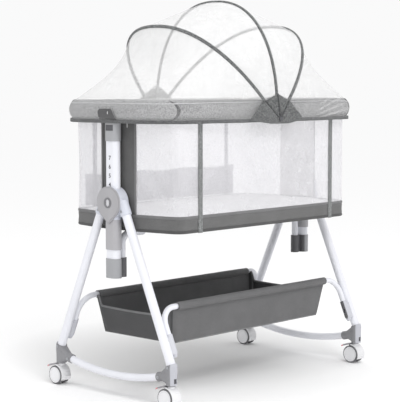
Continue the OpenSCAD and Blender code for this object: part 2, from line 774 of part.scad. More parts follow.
module net_shell() {
    tilts = [-90, -net_shoulder, -74, -64, -54, -left_tilt, -30, -15, 0, 15, 30, right_tilt, 54, 64, 74,
        net_shoulder, 90];
    rows = len(tilts);
    cols = 23;
    function spot(i, j) = let (f = -cos(180 * (j + 1) / (cols + 1)), r = net_reach(tilts[i], abs(f)))
        [r * sin(tilts[i]), net_y * f, pivot_z + r * cos(tilts[i])];
    centre = [0, 0, pivot_z];
    outer = [for (i = [0:rows - 1], j = [0:cols - 1]) spot(i, j)];
    inner = [for (p = outer) centre + (p - centre) * net_thin];
    poles = [for (k = [1, net_thin], s = [-1, 1]) [0, s * net_y * k, pivot_z]];
    n = rows * cols;
    p0 = 2 * n;
    function id(i, j) = i * cols + j;
    cells = [for (i = [0:rows - 2], j = [0:cols - 2]) each [[id(i, j), id(i, j + 1), id(i + 1, j + 1)],
        [id(i, j), id(i + 1, j + 1), id(i + 1, j)]]];
    front_fan = [for (i = [0:rows - 2]) [p0, id(i, 0), id(i + 1, 0)]];
    rear_fan = [for (i = [0:rows - 2]) [p0 + 1, id(i + 1, cols - 1), id(i, cols - 1)]];
    skin = concat(cells, front_fan, rear_fan);
    function under(v) = v < n ? v + n : v + 2;
    function rim(i) = concat([p0], [for (j = [0:cols - 1]) id(i, j)], [p0 + 1]);
    function band(v, w) = [[v, under(v), under(w)], [v, under(w), w]];
    left = rim(0);
    right = rim(rows - 1);
    faces = concat(skin, [for (t = skin) [under(t[2]), under(t[1]), under(t[0])]],
        [for (k = [0:len(left) - 2]) each band(left[k], left[k + 1])],
        [for (k = [0:len(right) - 2]) each band(right[k + 1], right[k])]);
    polyhedron(concat(outer, inner, poles), faces, convexity = 6);
}

module gusset_plate() {
    translate([0, gusset_y + gusset_t, pivot_z]) rotate([90, 0, 0]) linear_extrude(gusset_t) difference() {
        polygon([[-134, -3], [-72, 50], [0, 76], [68, 48], [92, 20], [101, -3], [40, -14], [-40, -14]]);
        circle(r = pin_r + 1);
    }
}

module canopy_net() {
    color([1, 1, 1, 0.5]) difference() {
        net_shell();
        for (s = [-1, 1]) front_rear(s) translate([0, 0, pivot_z]) along_y(pin_r + 6, net_y - 20, net_y + 5);
    }
    color(dark_grey) for (s = [-1, 1]) front_rear(s) gusset_plate();
}

// ---------- assembly ----------
leg(-1, -1);  // leg_a_front
leg(-1, 1);  // leg_a_rear
leg(1, -1);  // leg_b_front
leg(1, 1);  // leg_b_rear
foot_socket(-1, -1);  // foot_socket_a_front
foot_socket(-1, 1);  // foot_socket_a_rear
foot_socket(1, -1);  // foot_socket_b_front
foot_socket(1, 1);  // foot_socket_b_rear
rocker_tubes();
hub_housing(-1);  // hub_housing_a
hub_housing(1);  // hub_housing_b
hub_covers();
basket_clips();
basket_tubes();
basket();
stand_screws();
castor_fork(-1, -1);  // castor_fork_a_front
castor_fork(-1, 1);  // castor_fork_a_rear
castor_fork(1, -1);  // castor_fork_b_front
castor_fork(1, 1);  // castor_fork_b_rear
castor_tyres(-1, -1);  // castor_tyres_a_front
castor_tyres(-1, 1);  // castor_tyres_a_rear
castor_tyres(1, -1);  // castor_tyres_b_front
castor_tyres(1, 1);  // castor_tyres_b_rear
castor_discs(-1, -1);  // castor_discs_a_front
castor_discs(-1, 1);  // castor_discs_a_rear
castor_discs(1, -1);  // castor_discs_b_front
castor_discs(1, 1);  // castor_discs_b_rear
brake_pedal(-1, -1);  // brake_pedal_a_front
brake_pedal(-1, 1);  // brake_pedal_a_rear
brake_pedal(1, -1);  // brake_pedal_b_front
brake_pedal(1, 1);  // brake_pedal_b_rear
castor_release(-1, -1);  // castor_release_a_front
castor_release(-1, 1);  // castor_release_a_rear
castor_release(1, -1);  // castor_release_b_front
castor_release(1, 1);  // castor_release_b_rear
height_button(-1);  // height_button_a
height_button(1);  // height_button_b
lock_bolt(-1);  // lock_bolt_a
lock_bolt(1);  // lock_bolt_b
columns();
column_sockets();
rail_release(-1);  // rail_release_a
rail_release(1);  // rail_release_b
column_caps();
support_tubes();
rail_frame();
rail_cover();
base_band();
base_board();
mattress();
mesh_walls();
end_panels();
straps();
storage_pocket();
hoop(0, -left_tilt, left_hoop_h);  // hoop_left
hoop(1, 0, mid_hoop_h);  // hoop_mid
hoop(2, right_tilt, right_hoop_h);  // hoop_right
hoop_pins();
canopy_net();
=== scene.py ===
import math

import bpy
import numpy as np
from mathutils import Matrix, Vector, geometry, noise


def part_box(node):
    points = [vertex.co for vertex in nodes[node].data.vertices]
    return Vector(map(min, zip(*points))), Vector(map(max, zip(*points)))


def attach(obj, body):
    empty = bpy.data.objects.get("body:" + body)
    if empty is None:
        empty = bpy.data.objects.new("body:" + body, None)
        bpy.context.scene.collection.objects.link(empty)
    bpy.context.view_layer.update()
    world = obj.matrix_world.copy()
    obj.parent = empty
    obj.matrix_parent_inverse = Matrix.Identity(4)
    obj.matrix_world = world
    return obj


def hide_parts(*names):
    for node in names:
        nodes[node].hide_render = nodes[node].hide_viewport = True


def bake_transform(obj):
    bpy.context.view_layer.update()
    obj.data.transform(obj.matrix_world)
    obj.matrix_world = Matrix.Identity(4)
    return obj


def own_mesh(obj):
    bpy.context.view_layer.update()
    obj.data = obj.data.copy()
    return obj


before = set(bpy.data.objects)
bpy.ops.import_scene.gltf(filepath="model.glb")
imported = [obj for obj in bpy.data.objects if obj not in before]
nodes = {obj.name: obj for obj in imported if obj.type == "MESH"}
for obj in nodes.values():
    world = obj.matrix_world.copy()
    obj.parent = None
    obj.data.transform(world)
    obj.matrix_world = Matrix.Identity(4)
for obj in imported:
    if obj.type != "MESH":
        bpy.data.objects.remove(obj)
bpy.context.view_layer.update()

MM = 0.001
TURN = 2 * math.pi
UP = np.array([0, 0, 1.0])
ENDS = {-1: "a", 1: "b"}             # end A is at -X
SIDES = {-1: "front", 1: "rear"}     # the front is at -Y
HALVES = {-1: "left", 1: "right"}    # of the canopy, as seen from the front

# ---------- sizes, from the frame ----------
rail_low, rail_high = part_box("rail_cover")
base_low, base_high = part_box("base_band")
mattress_low, mattress_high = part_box("mattress")
wall_low, wall_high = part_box("mesh_walls")
panel_low, panel_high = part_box("end_panels")
pocket_low, pocket_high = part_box("storage_pocket")
basket_low, basket_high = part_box("basket")
column_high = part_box("columns")[1]

# Repeated from the design, because a box doesn't show them
RAIL_WIDTH = 42 * MM
RAIL_CORNER = 128 * MM
BASE_MID_Y = 71 * MM
BASE_CORNER = (352 * MM, 183 * MM, 35 * MM)      # centre x, centre y, radius
BASKET_LOW_Y = 143 * MM
TUBE_Y, TUBE_Z, TUBE_R = 164.5 * MM, 269 * MM, 8.5 * MM      # the basket's tubes
STRAP_X = 298 * MM
STRAP_WIDTH = 17 * MM
PIVOT_Z = 796 * MM
HOOP_POWER = 2.3
SHOULDER = 83
HOOPS = {"left": (-44, 246.5 * MM, 375 * MM),     # tilt from upright, half width, height
         "mid": (0, 250.9 * MM, 352 * MM),
         "right": (42.5, 255.3 * MM, 384 * MM)}
HEM_Y = 260 * MM
NUMBER_TOP_Z = 689.5 * MM
NUMBER_STEP = 25.4 * MM


# ---------- material helpers ----------
def linear(value):
    """Linear value of a grey from 0 to 255."""
    v = value / 255
    return v / 12.92 if v <= 0.04045 else ((v + 0.055) / 1.055) ** 2.4


def rgb(r, g, b):
    return (linear(r), linear(g), linear(b), 1)


def darker(colour, share):
    return tuple(c * share for c in colour[:3]) + (1,)


class Finish:
    """A procedural material: small helpers that add and join its nodes."""

    def __init__(self, name, roughness):
        self.material = bpy.data.materials.new(name)
        self.material.use_nodes = True
        self.tree = self.material.node_tree
        self.bsdf = self.tree.nodes["Principled BSDF"]
        self.bsdf.inputs["Roughness"].default_value = roughness
        coordinates = self.add("ShaderNodeTexCoord")
        self.place, self.uv = coordinates.outputs["Object"], coordinates.outputs["UV"]

    def add(self, kind, settings=(), **inputs):
        made = self.tree.nodes.new(kind)
        for key, value in dict(settings).items():
            setattr(made, key, value)
        for key, value in inputs.items():
            self.feed(made.inputs[key.replace("_", " ")], value)
        return made

    def feed(self, socket, value):
        if isinstance(value, bpy.types.NodeSocket):
            self.tree.links.new(value, socket)
        else:
            socket.default_value = value

    def set(self, **values):
        """Constants and links on the shader's own sockets."""
        for key, value in values.items():
            self.feed(self.bsdf.inputs[key.replace("_", " ")], value)

    def stretched(self, x, y, z):
        return self.add("ShaderNodeMapping", Scale=(x, y, z), Vector=self.place).outputs["Vector"]

    def noise(self, scale, detail=3, vector=None):
        made = self.add("ShaderNodeTexNoise", Vector=vector or self.place, Scale=scale, Detail=detail)
        return made.outputs["Fac"]

    def math(self, operation, a, b=0.0):
        made = self.add("ShaderNodeMath", {"operation": operation})
        self.feed(made.inputs[0], a)
        self.feed(made.inputs[1], b)
        return made.outputs[0]

    def vector(self, operation, a, b=(0, 0, 0)):
        made = self.add("ShaderNodeVectorMath", {"operation": operation})
        self.feed(made.inputs[0], a)
        self.feed(made.inputs[1], b)
        return made.outputs

    def ramp(self, value, low, high, a=0.0, b=1.0):
        """Maps low..high to a..b, held at the ends."""
        made = self.add("ShaderNodeMapRange", Value=value, From_Min=low, From_Max=high, To_Min=a, To_Max=b)
        return made.outputs["Result"]

    def mix(self, factor, a, b):
        made = self.add("ShaderNodeMix", {"data_type": "RGBA"})
        self.feed(made.inputs[0], factor)
        self.feed(made.inputs[6], a)
        self.feed(made.inputs[7], b)
        return made.outputs[2]

    def zone(self, colour, other, axis, low, high):
        """colour, or other where an object coordinate's size, along axis, passes from low to high."""
        parts = self.add("ShaderNodeSeparateXYZ", Vector=self.place)
        size = self.math("ABSOLUTE", parts.outputs[axis])
        beyond = self.ramp(size, low, high) if low < high else self.ramp(size, high, low, 1.0, 0.0)
        return self.mix(beyond, colour, other)

    def weave(self, pitch):
        """Thread bumps of that pitch that need no UV map: products of sines along the three axes."""
        k = TURN / pitch
        waves = self.vector("SINE", self.stretched(k, k, k))[0]
        parts = self.add("ShaderNodeSeparateXYZ", Vector=waves).outputs
        turned = self.add("ShaderNodeCombineXYZ", X=parts[1], Y=parts[2], Z=parts[0])
        return self.vector("DOT_PRODUCT", waves, turned.outputs[0])["Value"]

    def bump(self, height, distance, strength=1.0, under=None):
        made = self.add("ShaderNodeBump", Height=height, Distance=distance, Strength=strength)
        if under is not None:
            self.feed(made.inputs["Normal"], under)
        self.feed(self.bsdf.inputs["Normal"], made.outputs["Normal"])
        return made.outputs["Normal"]


def painted_steel(name, *colour):
    """Powder coat: a fine orange peel, a little gloss, and dulled, faintly darker patches."""
    f = Finish(name, 0.32)
    colour = rgb(*colour)
    patches = f.noise(9, 4)
    f.set(Base_Color=f.mix(f.ramp(patches, 0.35, 0.75), colour, darker(colour, 0.93)))
    f.set(Roughness=f.ramp(patches, 0.3, 0.7, 0.26, 0.40), Coat_Weight=0.2, Coat_Roughness=0.18)
    f.bump(f.noise(420, 2), 0.0004, 0.10)
    return f.material


def moulded_plastic(name, colour, roughness=0.45, grain=0.25, zone=None):
    """Moulded plastic with a spark-eroded grain, slight flow marks, and another colour in one zone, which on
    some parts is painted shade.
    """
    f = Finish(name, roughness)
    colour = rgb(*colour)
    flow = f.noise(14, 3, f.stretched(1, 1, 0.35))
    dust = f.noise(260, 2)
    tone = f.mix(f.ramp(flow, 0.35, 0.7), colour, darker(colour, 0.88))
    if zone is not None:
        tone = f.zone(tone, rgb(*zone[0]), *zone[1:])
    f.set(Base_Color=tone, Roughness=f.ramp(dust, 0.3, 0.7, roughness - 0.06, roughness + 0.08))
    fine = f.bump(f.noise(2600, 2), 0.0002, grain)
    f.bump(flow, 0.002, 0.06, under=fine)
    return f.material


def bare_metal(name, colour, roughness=0.3):
    f = Finish(name, roughness)
    drawn = f.noise(700, 3, f.stretched(1, 1, 0.05))
    f.set(Base_Color=rgb(*colour), Metallic=1.0)
    f.set(Roughness=f.ramp(drawn, 0.3, 0.7, roughness - 0.08, roughness + 0.12))
    f.bump(drawn, 0.0003, 0.15)
    return f.material


def tyre_rubber(name, colour):
    f = Finish(name, 0.62)
    colour = rgb(*colour)
    scuffs = f.noise(60, 5)
    f.set(Base_Color=f.mix(f.ramp(scuffs, 0.45, 0.75), colour, darker(colour, 0.72)))
    f.set(Roughness=f.ramp(scuffs, 0.3, 0.7, 0.52, 0.78))
    f.bump(f.noise(900, 3), 0.0004, 0.3)
    return f.material


def melange(name, dark, light, contrast, pitch=1.1 * MM):
    """Heather cloth: crossed light and dark fibres, clouds of tone, and a raised weave."""
    f = Finish(name, 0.9)
    along = f.noise(1100, 3, f.stretched(1, 0.3, 0.25))
    across = f.noise(1100, 3, f.stretched(0.25, 0.6, 1))
    clouds = f.noise(300, 4)
    fibres = f.math("MULTIPLY", f.math("ADD", along, across), 0.2)
    blend = f.math("ADD", fibres, f.math("MULTIPLY", clouds, 0.6))
    spread = 0.10 / contrast
    f.set(Base_Color=f.mix(f.ramp(blend, 0.5 - spread, 0.5 + spread), rgb(*dark), rgb(*light)))
    f.set(Sheen_Weight=0.25, Sheen_Roughness=0.5, Specular_IOR_Level=0.2)
    f.set(Roughness=f.ramp(across, 0.3, 0.7, 0.82, 0.96))
    threads = f.bump(f.weave(pitch), 0.0005, 0.55)
    f.bump(clouds, 0.0012, 0.25, under=threads)
    return f.material


def plain_weave(name, colour, pitch=1.3 * MM, strength=0.5, crease=0.12):
    """Dense one-colour cloth, such as coated polyester: even tone, fine ribs, soft creases, and painted shade
    darkening the crease hollows.
    """
    f = Finish(name, 0.82)
    colour = rgb(*colour)
    creases = f.noise(22, 5)
    fibres = f.noise(900, 3, f.stretched(1, 0.4, 0.4))
    tone = f.math("ADD", f.math("MULTIPLY", creases, 0.5), f.math("MULTIPLY", fibres, 0.5))
    # the colour darkens where the crease noise is low, in the crease hollows: painted shade, mixed with
    # random fibre tone
    f.set(Base_Color=f.mix(f.ramp(tone, 0.40, 0.62), darker(colour, 0.80), colour))
    f.set(Sheen_Weight=0.15, Sheen_Roughness=0.5, Specular_IOR_Level=0.25)
    f.set(Roughness=f.ramp(creases, 0.3, 0.7, 0.74, 0.9))
    threads = f.bump(f.weave(pitch), 0.0005, strength)
    f.bump(creases, 0.004, crease, under=threads)
    return f.material


def opened(f, alpha, below, share):
    """Thins a net below a height to a share of its cover, with creases pulled across it towards end B,
    and cuts it away round the pivots under the gussets, which are larger at the rear."""
    place = f.add("ShaderNodeSeparateXYZ", Vector=f.place).outputs
    above = f.ramp(place["Z"], below, below + 0.008)
    up = f.math("SUBTRACT", place["Z"], below - 0.07)
    angle = f.math("ARCTAN2", up, f.math("SUBTRACT", place["X"], 0.03))
    bend = f.math("MULTIPLY", f.noise(14, 3), 7.0)
    wave = f.math("SINE", f.math("ADD", f.math("MULTIPLY", angle, 95.0), bend))
    creases = f.math("MULTIPLY", f.ramp(wave, 0.0, 1.0, 0.0, 0.6), f.ramp(f.noise(9, 2), 0.35, 0.6, 0.2, 1.0))
    creases = f.math("MULTIPLY", creases, f.ramp(place["X"], 0.09, 0.17))
    alpha = f.math("MULTIPLY", alpha, f.math("MAXIMUM", above, f.math("ADD", creases, share)))
    rise = f.math("SUBTRACT", place["Z"], PIVOT_Z)
    reach = f.vector("LENGTH", f.add("ShaderNodeCombineXYZ", X=place["X"], Z=rise).outputs[0])["Value"]
    radius = f.ramp(place["Y"], -0.01, 0.01, 0.070, 0.088)
    return f.math("MULTIPLY", alpha, f.ramp(f.math("SUBTRACT", reach, radius), 0.0, 0.001))


def netting(name, colour, cover, pitch=2.2 * MM, open_below=None, open_cover=0.07):
    """Knitted net: white threads round hexagonal holes, laid out on the piece's UV map in metres."""
    f = Finish(name, 0.9)
    cells = None
    for angle in (0, 60, 120):
        a = math.radians(angle)
        across = f.vector("DOT_PRODUCT", f.uv, (TURN / pitch * math.cos(a), TURN / pitch * math.sin(a), 0))
        wave = f.math("COSINE", across["Value"])
        cells = wave if cells is None else f.math("ADD", cells, wave)
    uneven = f.ramp(f.noise(24, 3), 0.3, 0.7, -0.05, 0.05)
    threads = f.ramp(cells, 0.6, -1.0, cover * 0.55, min(1.0, cover * 1.5))
    alpha = f.math("ADD", threads, uneven)
    if open_below is not None:
        alpha = opened(f, alpha, open_below, open_cover / cover)
    f.set(Base_Color=rgb(*colour), Alpha=alpha, Sheen_Weight=0.1, Specular_IOR_Level=0.1)
    f.bump(cells, 0.0003, 0.3)
    return f.material


# ---------- mesh helpers ----------
def piece(name, points, faces, material):
    mesh = bpy.data.meshes.new(name)
    mesh.from_pydata([tuple(p) for p in points], [], faces)
    mesh.materials.append(material)
    mesh.shade_smooth()
    made = bpy.data.objects.new(name, mesh)
    bpy.context.scene.collection.objects.link(made)
    return made


def grid_faces(rows, cols, wrap_rows=False, wrap_cols=False):
    def at(i, j):
        return (i % rows) * cols + j % cols

    last_row = rows if wrap_rows else rows - 1
    last_col = cols if wrap_cols else cols - 1
    return [(at(i, j), at(i + 1, j), at(i + 1, j + 1), at(i, j + 1))
            for i in range(last_row) for j in range(last_col)]


def grid_piece(name, grid, material, wrap_rows=False, wrap_cols=False, uv=False):
    """A piece from a rows x cols grid of points. uv gives it a map in metres."""
    rows, cols, _ = grid.shape
    made = piece(name, grid.reshape(-1, 3), grid_faces(rows, cols, wrap_rows, wrap_cols), material)
    if uv:
        middle = cols // 2
        across = np.array([travelled(row) for row in grid])
        across -= across[:, middle:middle + 1]
        down = np.repeat(travelled(grid[:, middle]), cols)
        layer = made.data.uv_layers.new(name="cloth")
        index = np.zeros(len(made.data.loops), np.int32)
        made.data.loops.foreach_get("vertex_index", index)
        flat = np.stack([across.ravel(), down], axis=1)[index]
        layer.data.foreach_set("uv", flat.astype(np.float32).ravel())
    return made


def thicken(obj, thickness, offset=0.0):
    made = obj.modifiers.new("cloth thickness", "SOLIDIFY")
    made.thickness = thickness
    made.offset = offset


def apply_modifiers(obj):
    graph = bpy.context.evaluated_depsgraph_get()
    mesh = bpy.data.meshes.new_from_object(obj.evaluated_get(graph))
    obj.modifiers.clear()
    obj.data = mesh


def points_at(x, y, z):
    """Points from three coordinates, each a number or an array."""
    return np.stack(np.broadcast_arrays(x, y, z), axis=-1)


def unit(vectors):
    return vectors / np.linalg.norm(vectors, axis=-1, keepdims=True)


def wobble(points, scale, seed=0.0):
    """Smooth noise from -1 to 1 at each point, with features of about scale metres."""
    places = np.asarray(points, float) / scale + (seed, -seed, 2 * seed)
    values = [noise.noise(Vector(place)) for place in places.reshape(-1, 3)]
    return np.reshape(values, places.shape[:-1])


def travelled(points):
    """Distance along a line to each of its points."""
    return np.concatenate([[0], np.cumsum(np.linalg.norm(np.diff(points, axis=0), axis=1))])


def line_of(points, closed):
    p = np.asarray(points, float)
    return np.vstack([p, p[:1]]) if closed else p


def length_of(points, closed=False):
    return float(travelled(line_of(points, closed))[-1])


def resample(points, count, closed=False):
    """Evenly spaced points along a line."""
    p = line_of(points, closed)
    far = travelled(p)
    at = np.linspace(0, far[-1], count + closed)[:count]
    return np.stack([np.interp(at, far, p[:, k]) for k in range(p.shape[1])], axis=1)


def surface_area(grid):
    down, across = grid[1:, :-1] - grid[:-1, :-1], grid[:-1, 1:] - grid[:-1, :-1]
    return float(np.linalg.norm(np.cross(down, across), axis=2).sum())


class Loop:
    """A closed outline in plan, evenly spaced and softened, with its outward normals."""

    def __init__(self, outline, step, soften=0.0):
        self.count = int(round(length_of(outline, closed=True) / step))
        points = resample(outline, self.count, closed=True)
        width = int(soften / step)
        if width > 0:
            kernel = np.hanning(2 * width + 3)[1:-1]
            kernel /= kernel.sum()
            half = len(kernel) // 2
            padded = np.vstack([points[-half:], points, points[:half]])
            points = np.stack([np.convolve(padded[:, k], kernel, "valid") for k in range(2)], axis=1)
        tangent = unit(np.roll(points, -1, axis=0) - np.roll(points, 1, axis=0))
        self.points = points
        self.normals = np.stack([tangent[:, 1], -tangent[:, 0]], axis=1)
        self.length = length_of(points, closed=True)
        self.arc = np.arange(self.count) * self.length / self.count

    def sweep(self, profile, rows=None):
        """Grid of a profile of (outward, z) pairs carried round the loop, or along some of its rows."""
        rows = np.arange(self.count) if rows is None else rows
        out, z = np.asarray(profile, float).T
        p, n = self.points[rows], self.normals[rows]
        return points_at(p[:, :1] + n[:, :1] * out, p[:, 1:] + n[:, 1:] * out, z)

    def run(self, chosen):
        """The rows where chosen holds, in order, as one run even where it passes the loop's start."""
        rows = np.where(chosen)[0]
        breaks = np.where(np.diff(rows) > 1)[0]
        return np.roll(rows, -breaks[0] - 1) if len(breaks) else rows


def rounded_rectangle(half_x, half_y, radius):
    """Outline of a rounded rectangle, anticlockwise."""
    out = []
    for quarter, (sx, sy) in enumerate([(1, 1), (-1, 1), (-1, -1), (1, -1)]):
        for k in range(33):
            a = math.radians(90 * quarter + 90 * k / 32)
            out.append((sx * (half_x - radius) + radius * math.cos(a),
                        sy * (half_y - radius) + radius * math.sin(a)))
    return out


def base_loop_at(grow, step, soften):
    """Loop round the base, grown outward: square ends and rounded corners, anticlockwise."""
    x, y, radius = BASE_CORNER
    radius += grow
    points = []
    for sx in (-1, 1):
        for sy in (-1, 1):
            points.append((sx * (base_high.x + grow), sy * BASE_MID_Y))
            for a in np.radians(range(0, 360, 6)):
                points.append((sx * x + radius * math.cos(a), sy * y + radius * math.sin(a)))
    outline = np.array([points[i] for i in geometry.convex_hull_2d(points)])
    x, y = outline.T
    if np.sum(x * np.roll(y, -1) - y * np.roll(x, -1)) <= 0:
        outline = outline[::-1]
    return Loop(outline, step, soften)


def superellipse(half_w, half_h, power, count):
    """Points of a superellipse, anticlockwise from +w, evenly spaced."""
    t = np.linspace(0, TURN, 400, endpoint=False)
    c, s = np.cos(t), np.sin(t)
    w, h = np.sign(c) * np.abs(c) ** (2 / power), np.sign(s) * np.abs(s) ** (2 / power)
    return resample(np.stack([half_w * w, half_h * h], axis=1), count, closed=True)


def circle(radius, count):
    return superellipse(radius, radius, 2, count)


def sweep_line(path, section, axis):
    """Grid of a section carried along an open 3-D path. axis is the section's fixed first axis."""
    path = np.asarray(path, float)
    across = np.asarray(axis, float)
    up = unit(np.cross(unit(np.gradient(path, axis=0)), across))
    return path[:, None] + across * section[:, :1] + up[:, None] * section[:, 1:]


def sweep_level(path, section, sign=1):
    """Grid of a section carried along a nearly level path: its first axis is level and square to the path."""
    x, y, _ = unit(np.gradient(path, axis=0)).T
    return path[:, None] + points_at(y, -x, 0)[:, None] * sign * section[..., :1] + UP * section[..., 1:]


def capped(name, grid, material):
    """A tube grid, wrapped round its section and closed at both ends."""
    rows, cols, _ = grid.shape
    faces = grid_faces(rows, cols, wrap_cols=True)
    faces.append(tuple(range(cols)))
    faces.append(tuple((rows - 1) * cols + k for k in reversed(range(cols))))
    return piece(name, grid.reshape(-1, 3), faces, material)


# ---------- handing pieces over ----------
def hand_over(obj, body, stands_for=None):
    """Ties a piece to the body it rides, unless it is tied already, and hides the node it stands for."""
    if body is not None:
        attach(obj, body)
    if stands_for is not None:
        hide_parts(stands_for)


def hand_over_sheet(obj, slot, body, flat, rests_on, stands_for=None, held="stretched", **more):
    """The same for a sheet of cloth; its flat size is not used. Its trims, in with_pieces, become its
    children.
    """
    for trim in more.get("with_pieces", ()):
        trim.parent = obj
    hand_over(obj, body, stands_for)


# ---------- materials ----------
FOOT_FACE = abs(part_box("foot_socket_a_front")[0].y) - 9 * MM
CLIP_INNER = min(abs(corner.co.x) for corner in nodes["basket_clips"].data.vertices)
WHITE_PAINT = painted_steel("white powder coat", 233, 234, 240)
LIGHT_PAINT = painted_steel("rail frame coat", 205, 205, 208)
HUB_SLEEVES = moulded_plastic("hub plastic, grey sleeve", (214, 217, 227), 0.42,
                              zone=((172, 171, 174), "Z", 514 * MM, 512 * MM))
COVER_PLASTIC = moulded_plastic("cover plastic", (172, 171, 174), 0.40)
FOOT_PLASTIC = moulded_plastic("foot plastic", (140, 140, 143), 0.48,
                               zone=((186, 187, 194), "Y", FOOT_FACE, FOOT_FACE + 0.6 * MM))
SOCKET_PLASTIC = moulded_plastic("socket plastic", (165, 166, 169), 0.44)
# the caps' sides nearer the middle than 417 mm are painted dark: painted shade on their inner faces
CAP_PLASTIC_INNER_SHADE = moulded_plastic("cap plastic, painted shade inside", (165, 166, 169), 0.44,
                              zone=((92, 92, 95), "X", 421 * MM, 417 * MM))
# each button's outer ring, beyond 451 mm, is painted dark: painted shade of the hole round its sunken face
BUTTON_PLASTIC_RING_SHADE = moulded_plastic("button plastic, painted shade on the ring", (232, 232, 235), 0.38,
                                 zone=((120, 120, 123), "X", 450.6 * MM, 451 * MM))
DARK_PLASTIC = moulded_plastic("dark plastic", (84, 84, 88), 0.5)
CASTOR_PLASTIC = moulded_plastic("castor plastic", (236, 236, 238), 0.38)
BOARD = moulded_plastic("base board", (120, 112, 100), 0.7)
# the clips' innermost 2 mm is painted dark: painted shade on their inner faces
CLIP_PLASTIC_INNER_SHADE = moulded_plastic("clip plastic, painted shade inside", (204, 205, 212), 0.44,
                               zone=((96, 96, 98), "X", CLIP_INNER + 2.5 * MM, CLIP_INNER + 2 * MM))
PRINT_INK = moulded_plastic("number ink", (38, 38, 42), 0.5, grain=0.1)
PEDALS = {}
for side, word in SIDES.items():      # each has a red tip at its +Y end
    start = abs(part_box(f"brake_pedal_a_{word}")[1].y) - side * 9 * MM
    PEDALS[word] = moulded_plastic(f"pedal plastic {word}", (160, 158, 162), 0.42,
                                   zone=((205, 132, 138), "Y", start, start + side * 0.8 * MM))
TYRE = tyre_rubber("castor tyre", (112, 112, 115))
STEEL = bare_metal("plated steel", (178, 180, 184))
RAIL_CLOTH = melange("rail cloth", (128, 128, 129), (186, 186, 187), 1.1)
SLEEVE_CLOTH = melange("rail sleeve cloth", (136, 136, 137), (193, 193, 194), 0.95)
# painted shadow: dark strips in front of the rail sleeves' hems
SLEEVE_EDGE_SHADOW = melange("rail sleeve edge, painted shadow", (84, 84, 85), (132, 132, 133), 1.0)
# the hoop ridges are raised seams; their cloth is darker than the gussets' as painted shade along the seams
RIDGE_CLOTH_SHADED = melange("hoop ridge cloth with painted shade", (46, 47, 48), (98, 99, 100), 1.6)
POCKET_CLOTH = melange("pocket cloth", (178, 178, 180), (222, 222, 224), 0.8)
GUSSET_CLOTH = melange("gusset cloth", (58, 59, 60), (126, 128, 128), 1.7)
HOOP_CLOTH = melange("hoop sleeve cloth", (68, 69, 70), (138, 140, 140), 1.9)
HEM_CLOTH = melange("hem elastic", (76, 77, 78), (118, 119, 120), 1.2, pitch=0.9 * MM)
STRAP_CLOTH = melange("strap webbing", (96, 98, 98), (150, 152, 152), 1.2, pitch=1.6 * MM)
PIPING_CLOTH = melange("rail piping cloth", (186, 186, 188), (226, 226, 228), 0.8)
PATCH_CLOTH = plain_weave("patch cloth", (96, 96, 97))
BASE_CLOTH = plain_weave("base cloth", (114, 114, 114))
# painted shade along the base band's lower edge
BASE_EDGE_SHADE = plain_weave("base edge cloth, painted shade", (88, 88, 88))
BINDING_CLOTH = plain_weave("binding cloth", (128, 128, 129), pitch=0.9 * MM)
PANEL_CLOTH = plain_weave("panel cloth", (103, 103, 103))
BASKET_CLOTH = plain_weave("basket cloth", (113, 113, 114), pitch=1.5 * MM)
# painted shade: the basket's end faces are darker than its sides
BASKET_END = plain_weave("basket end cloth, painted shade", (82, 82, 83), pitch=1.5 * MM)
MATTRESS_CLOTH = plain_weave("mattress cloth", (246, 246, 246), pitch=1.2 * MM, strength=0.3, crease=0.03)
WHITE_TRIM = plain_weave("white trim", (240, 240, 240), pitch=0.8 * MM)
LINING_CLOTH = plain_weave("lining cloth", (255, 254, 255), pitch=1.1 * MM)
CANOPY_NET = netting("canopy net", (243, 243, 243), 0.44, open_below=rail_high.z - 3 * MM)
WALL_NET = netting("wall net", (237, 236, 240), 0.47, pitch=1.8 * MM)


# ---------- the CAD parts that stay ----------
# Start of a name: its material, and how far its edges are softened, in mm
HARD_PARTS = {
    "leg_": (WHITE_PAINT, 0), "rocker_tubes": (WHITE_PAINT, 0), "basket_tubes": (WHITE_PAINT, 0),
    "columns": (WHITE_PAINT, 0.4), "support_tubes": (WHITE_PAINT, 0), "rail_frame": (LIGHT_PAINT, 0),
    "foot_socket_": (FOOT_PLASTIC, 1.4), "basket_clips": (CLIP_PLASTIC_INNER_SHADE, 1.0), "lock_bolt_": (STEEL, 0),
    "hub_housing_": (HUB_SLEEVES, 0.9), "hub_covers": (COVER_PLASTIC, 1.2),
    "height_button_": (BUTTON_PLASTIC_RING_SHADE, 0.7),
    "column_sockets": (SOCKET_PLASTIC, 1.0), "rail_release_": (COVER_PLASTIC, 0.4),
    "column_caps": (CAP_PLASTIC_INNER_SHADE, 1.6), "castor_fork_": (CASTOR_PLASTIC, 0.6), "castor_tyres_": (TYRE, 1.6),
    "castor_discs_": (CASTOR_PLASTIC, 0.5), "brake_pedal_": (PEDALS["front"], 1.0),
    "castor_release_": (DARK_PLASTIC, 0.7), "stand_screws": (STEEL, 0), "hoop_pins": (DARK_PLASTIC, 0.5),
    "hoop_left": (STEEL, 0), "hoop_mid": (STEEL, 0), "hoop_right": (STEEL, 0), "base_board": (BOARD, 0),
}


def soften(obj, width):
    """Rounds a CAD part's sharp edges, as moulding and deburring do."""
    weld = obj.modifiers.new("close the seams", "WELD")
    weld.merge_threshold = 0.01 * MM
    bevel = obj.modifiers.new("soft edges", "BEVEL")
    bevel.width = width * MM
    bevel.segments = 2
    bevel.limit_method = "ANGLE"
    bevel.angle_limit = math.radians(50)
    bevel.harden_normals = True
    smooth = obj.modifiers.new("even shading", "WEIGHTED_NORMAL")
    smooth.keep_sharp = True


for name, obj in nodes.items():
    for start, (material, width) in HARD_PARTS.items():
        if name.startswith(start):
            rear_pedal = start == "brake_pedal_" and name.endswith("rear")
            obj.data.materials.clear()
            obj.data.materials.append(PEDALS["rear"] if rear_pedal else material)
            if width:
                soften(obj, width)


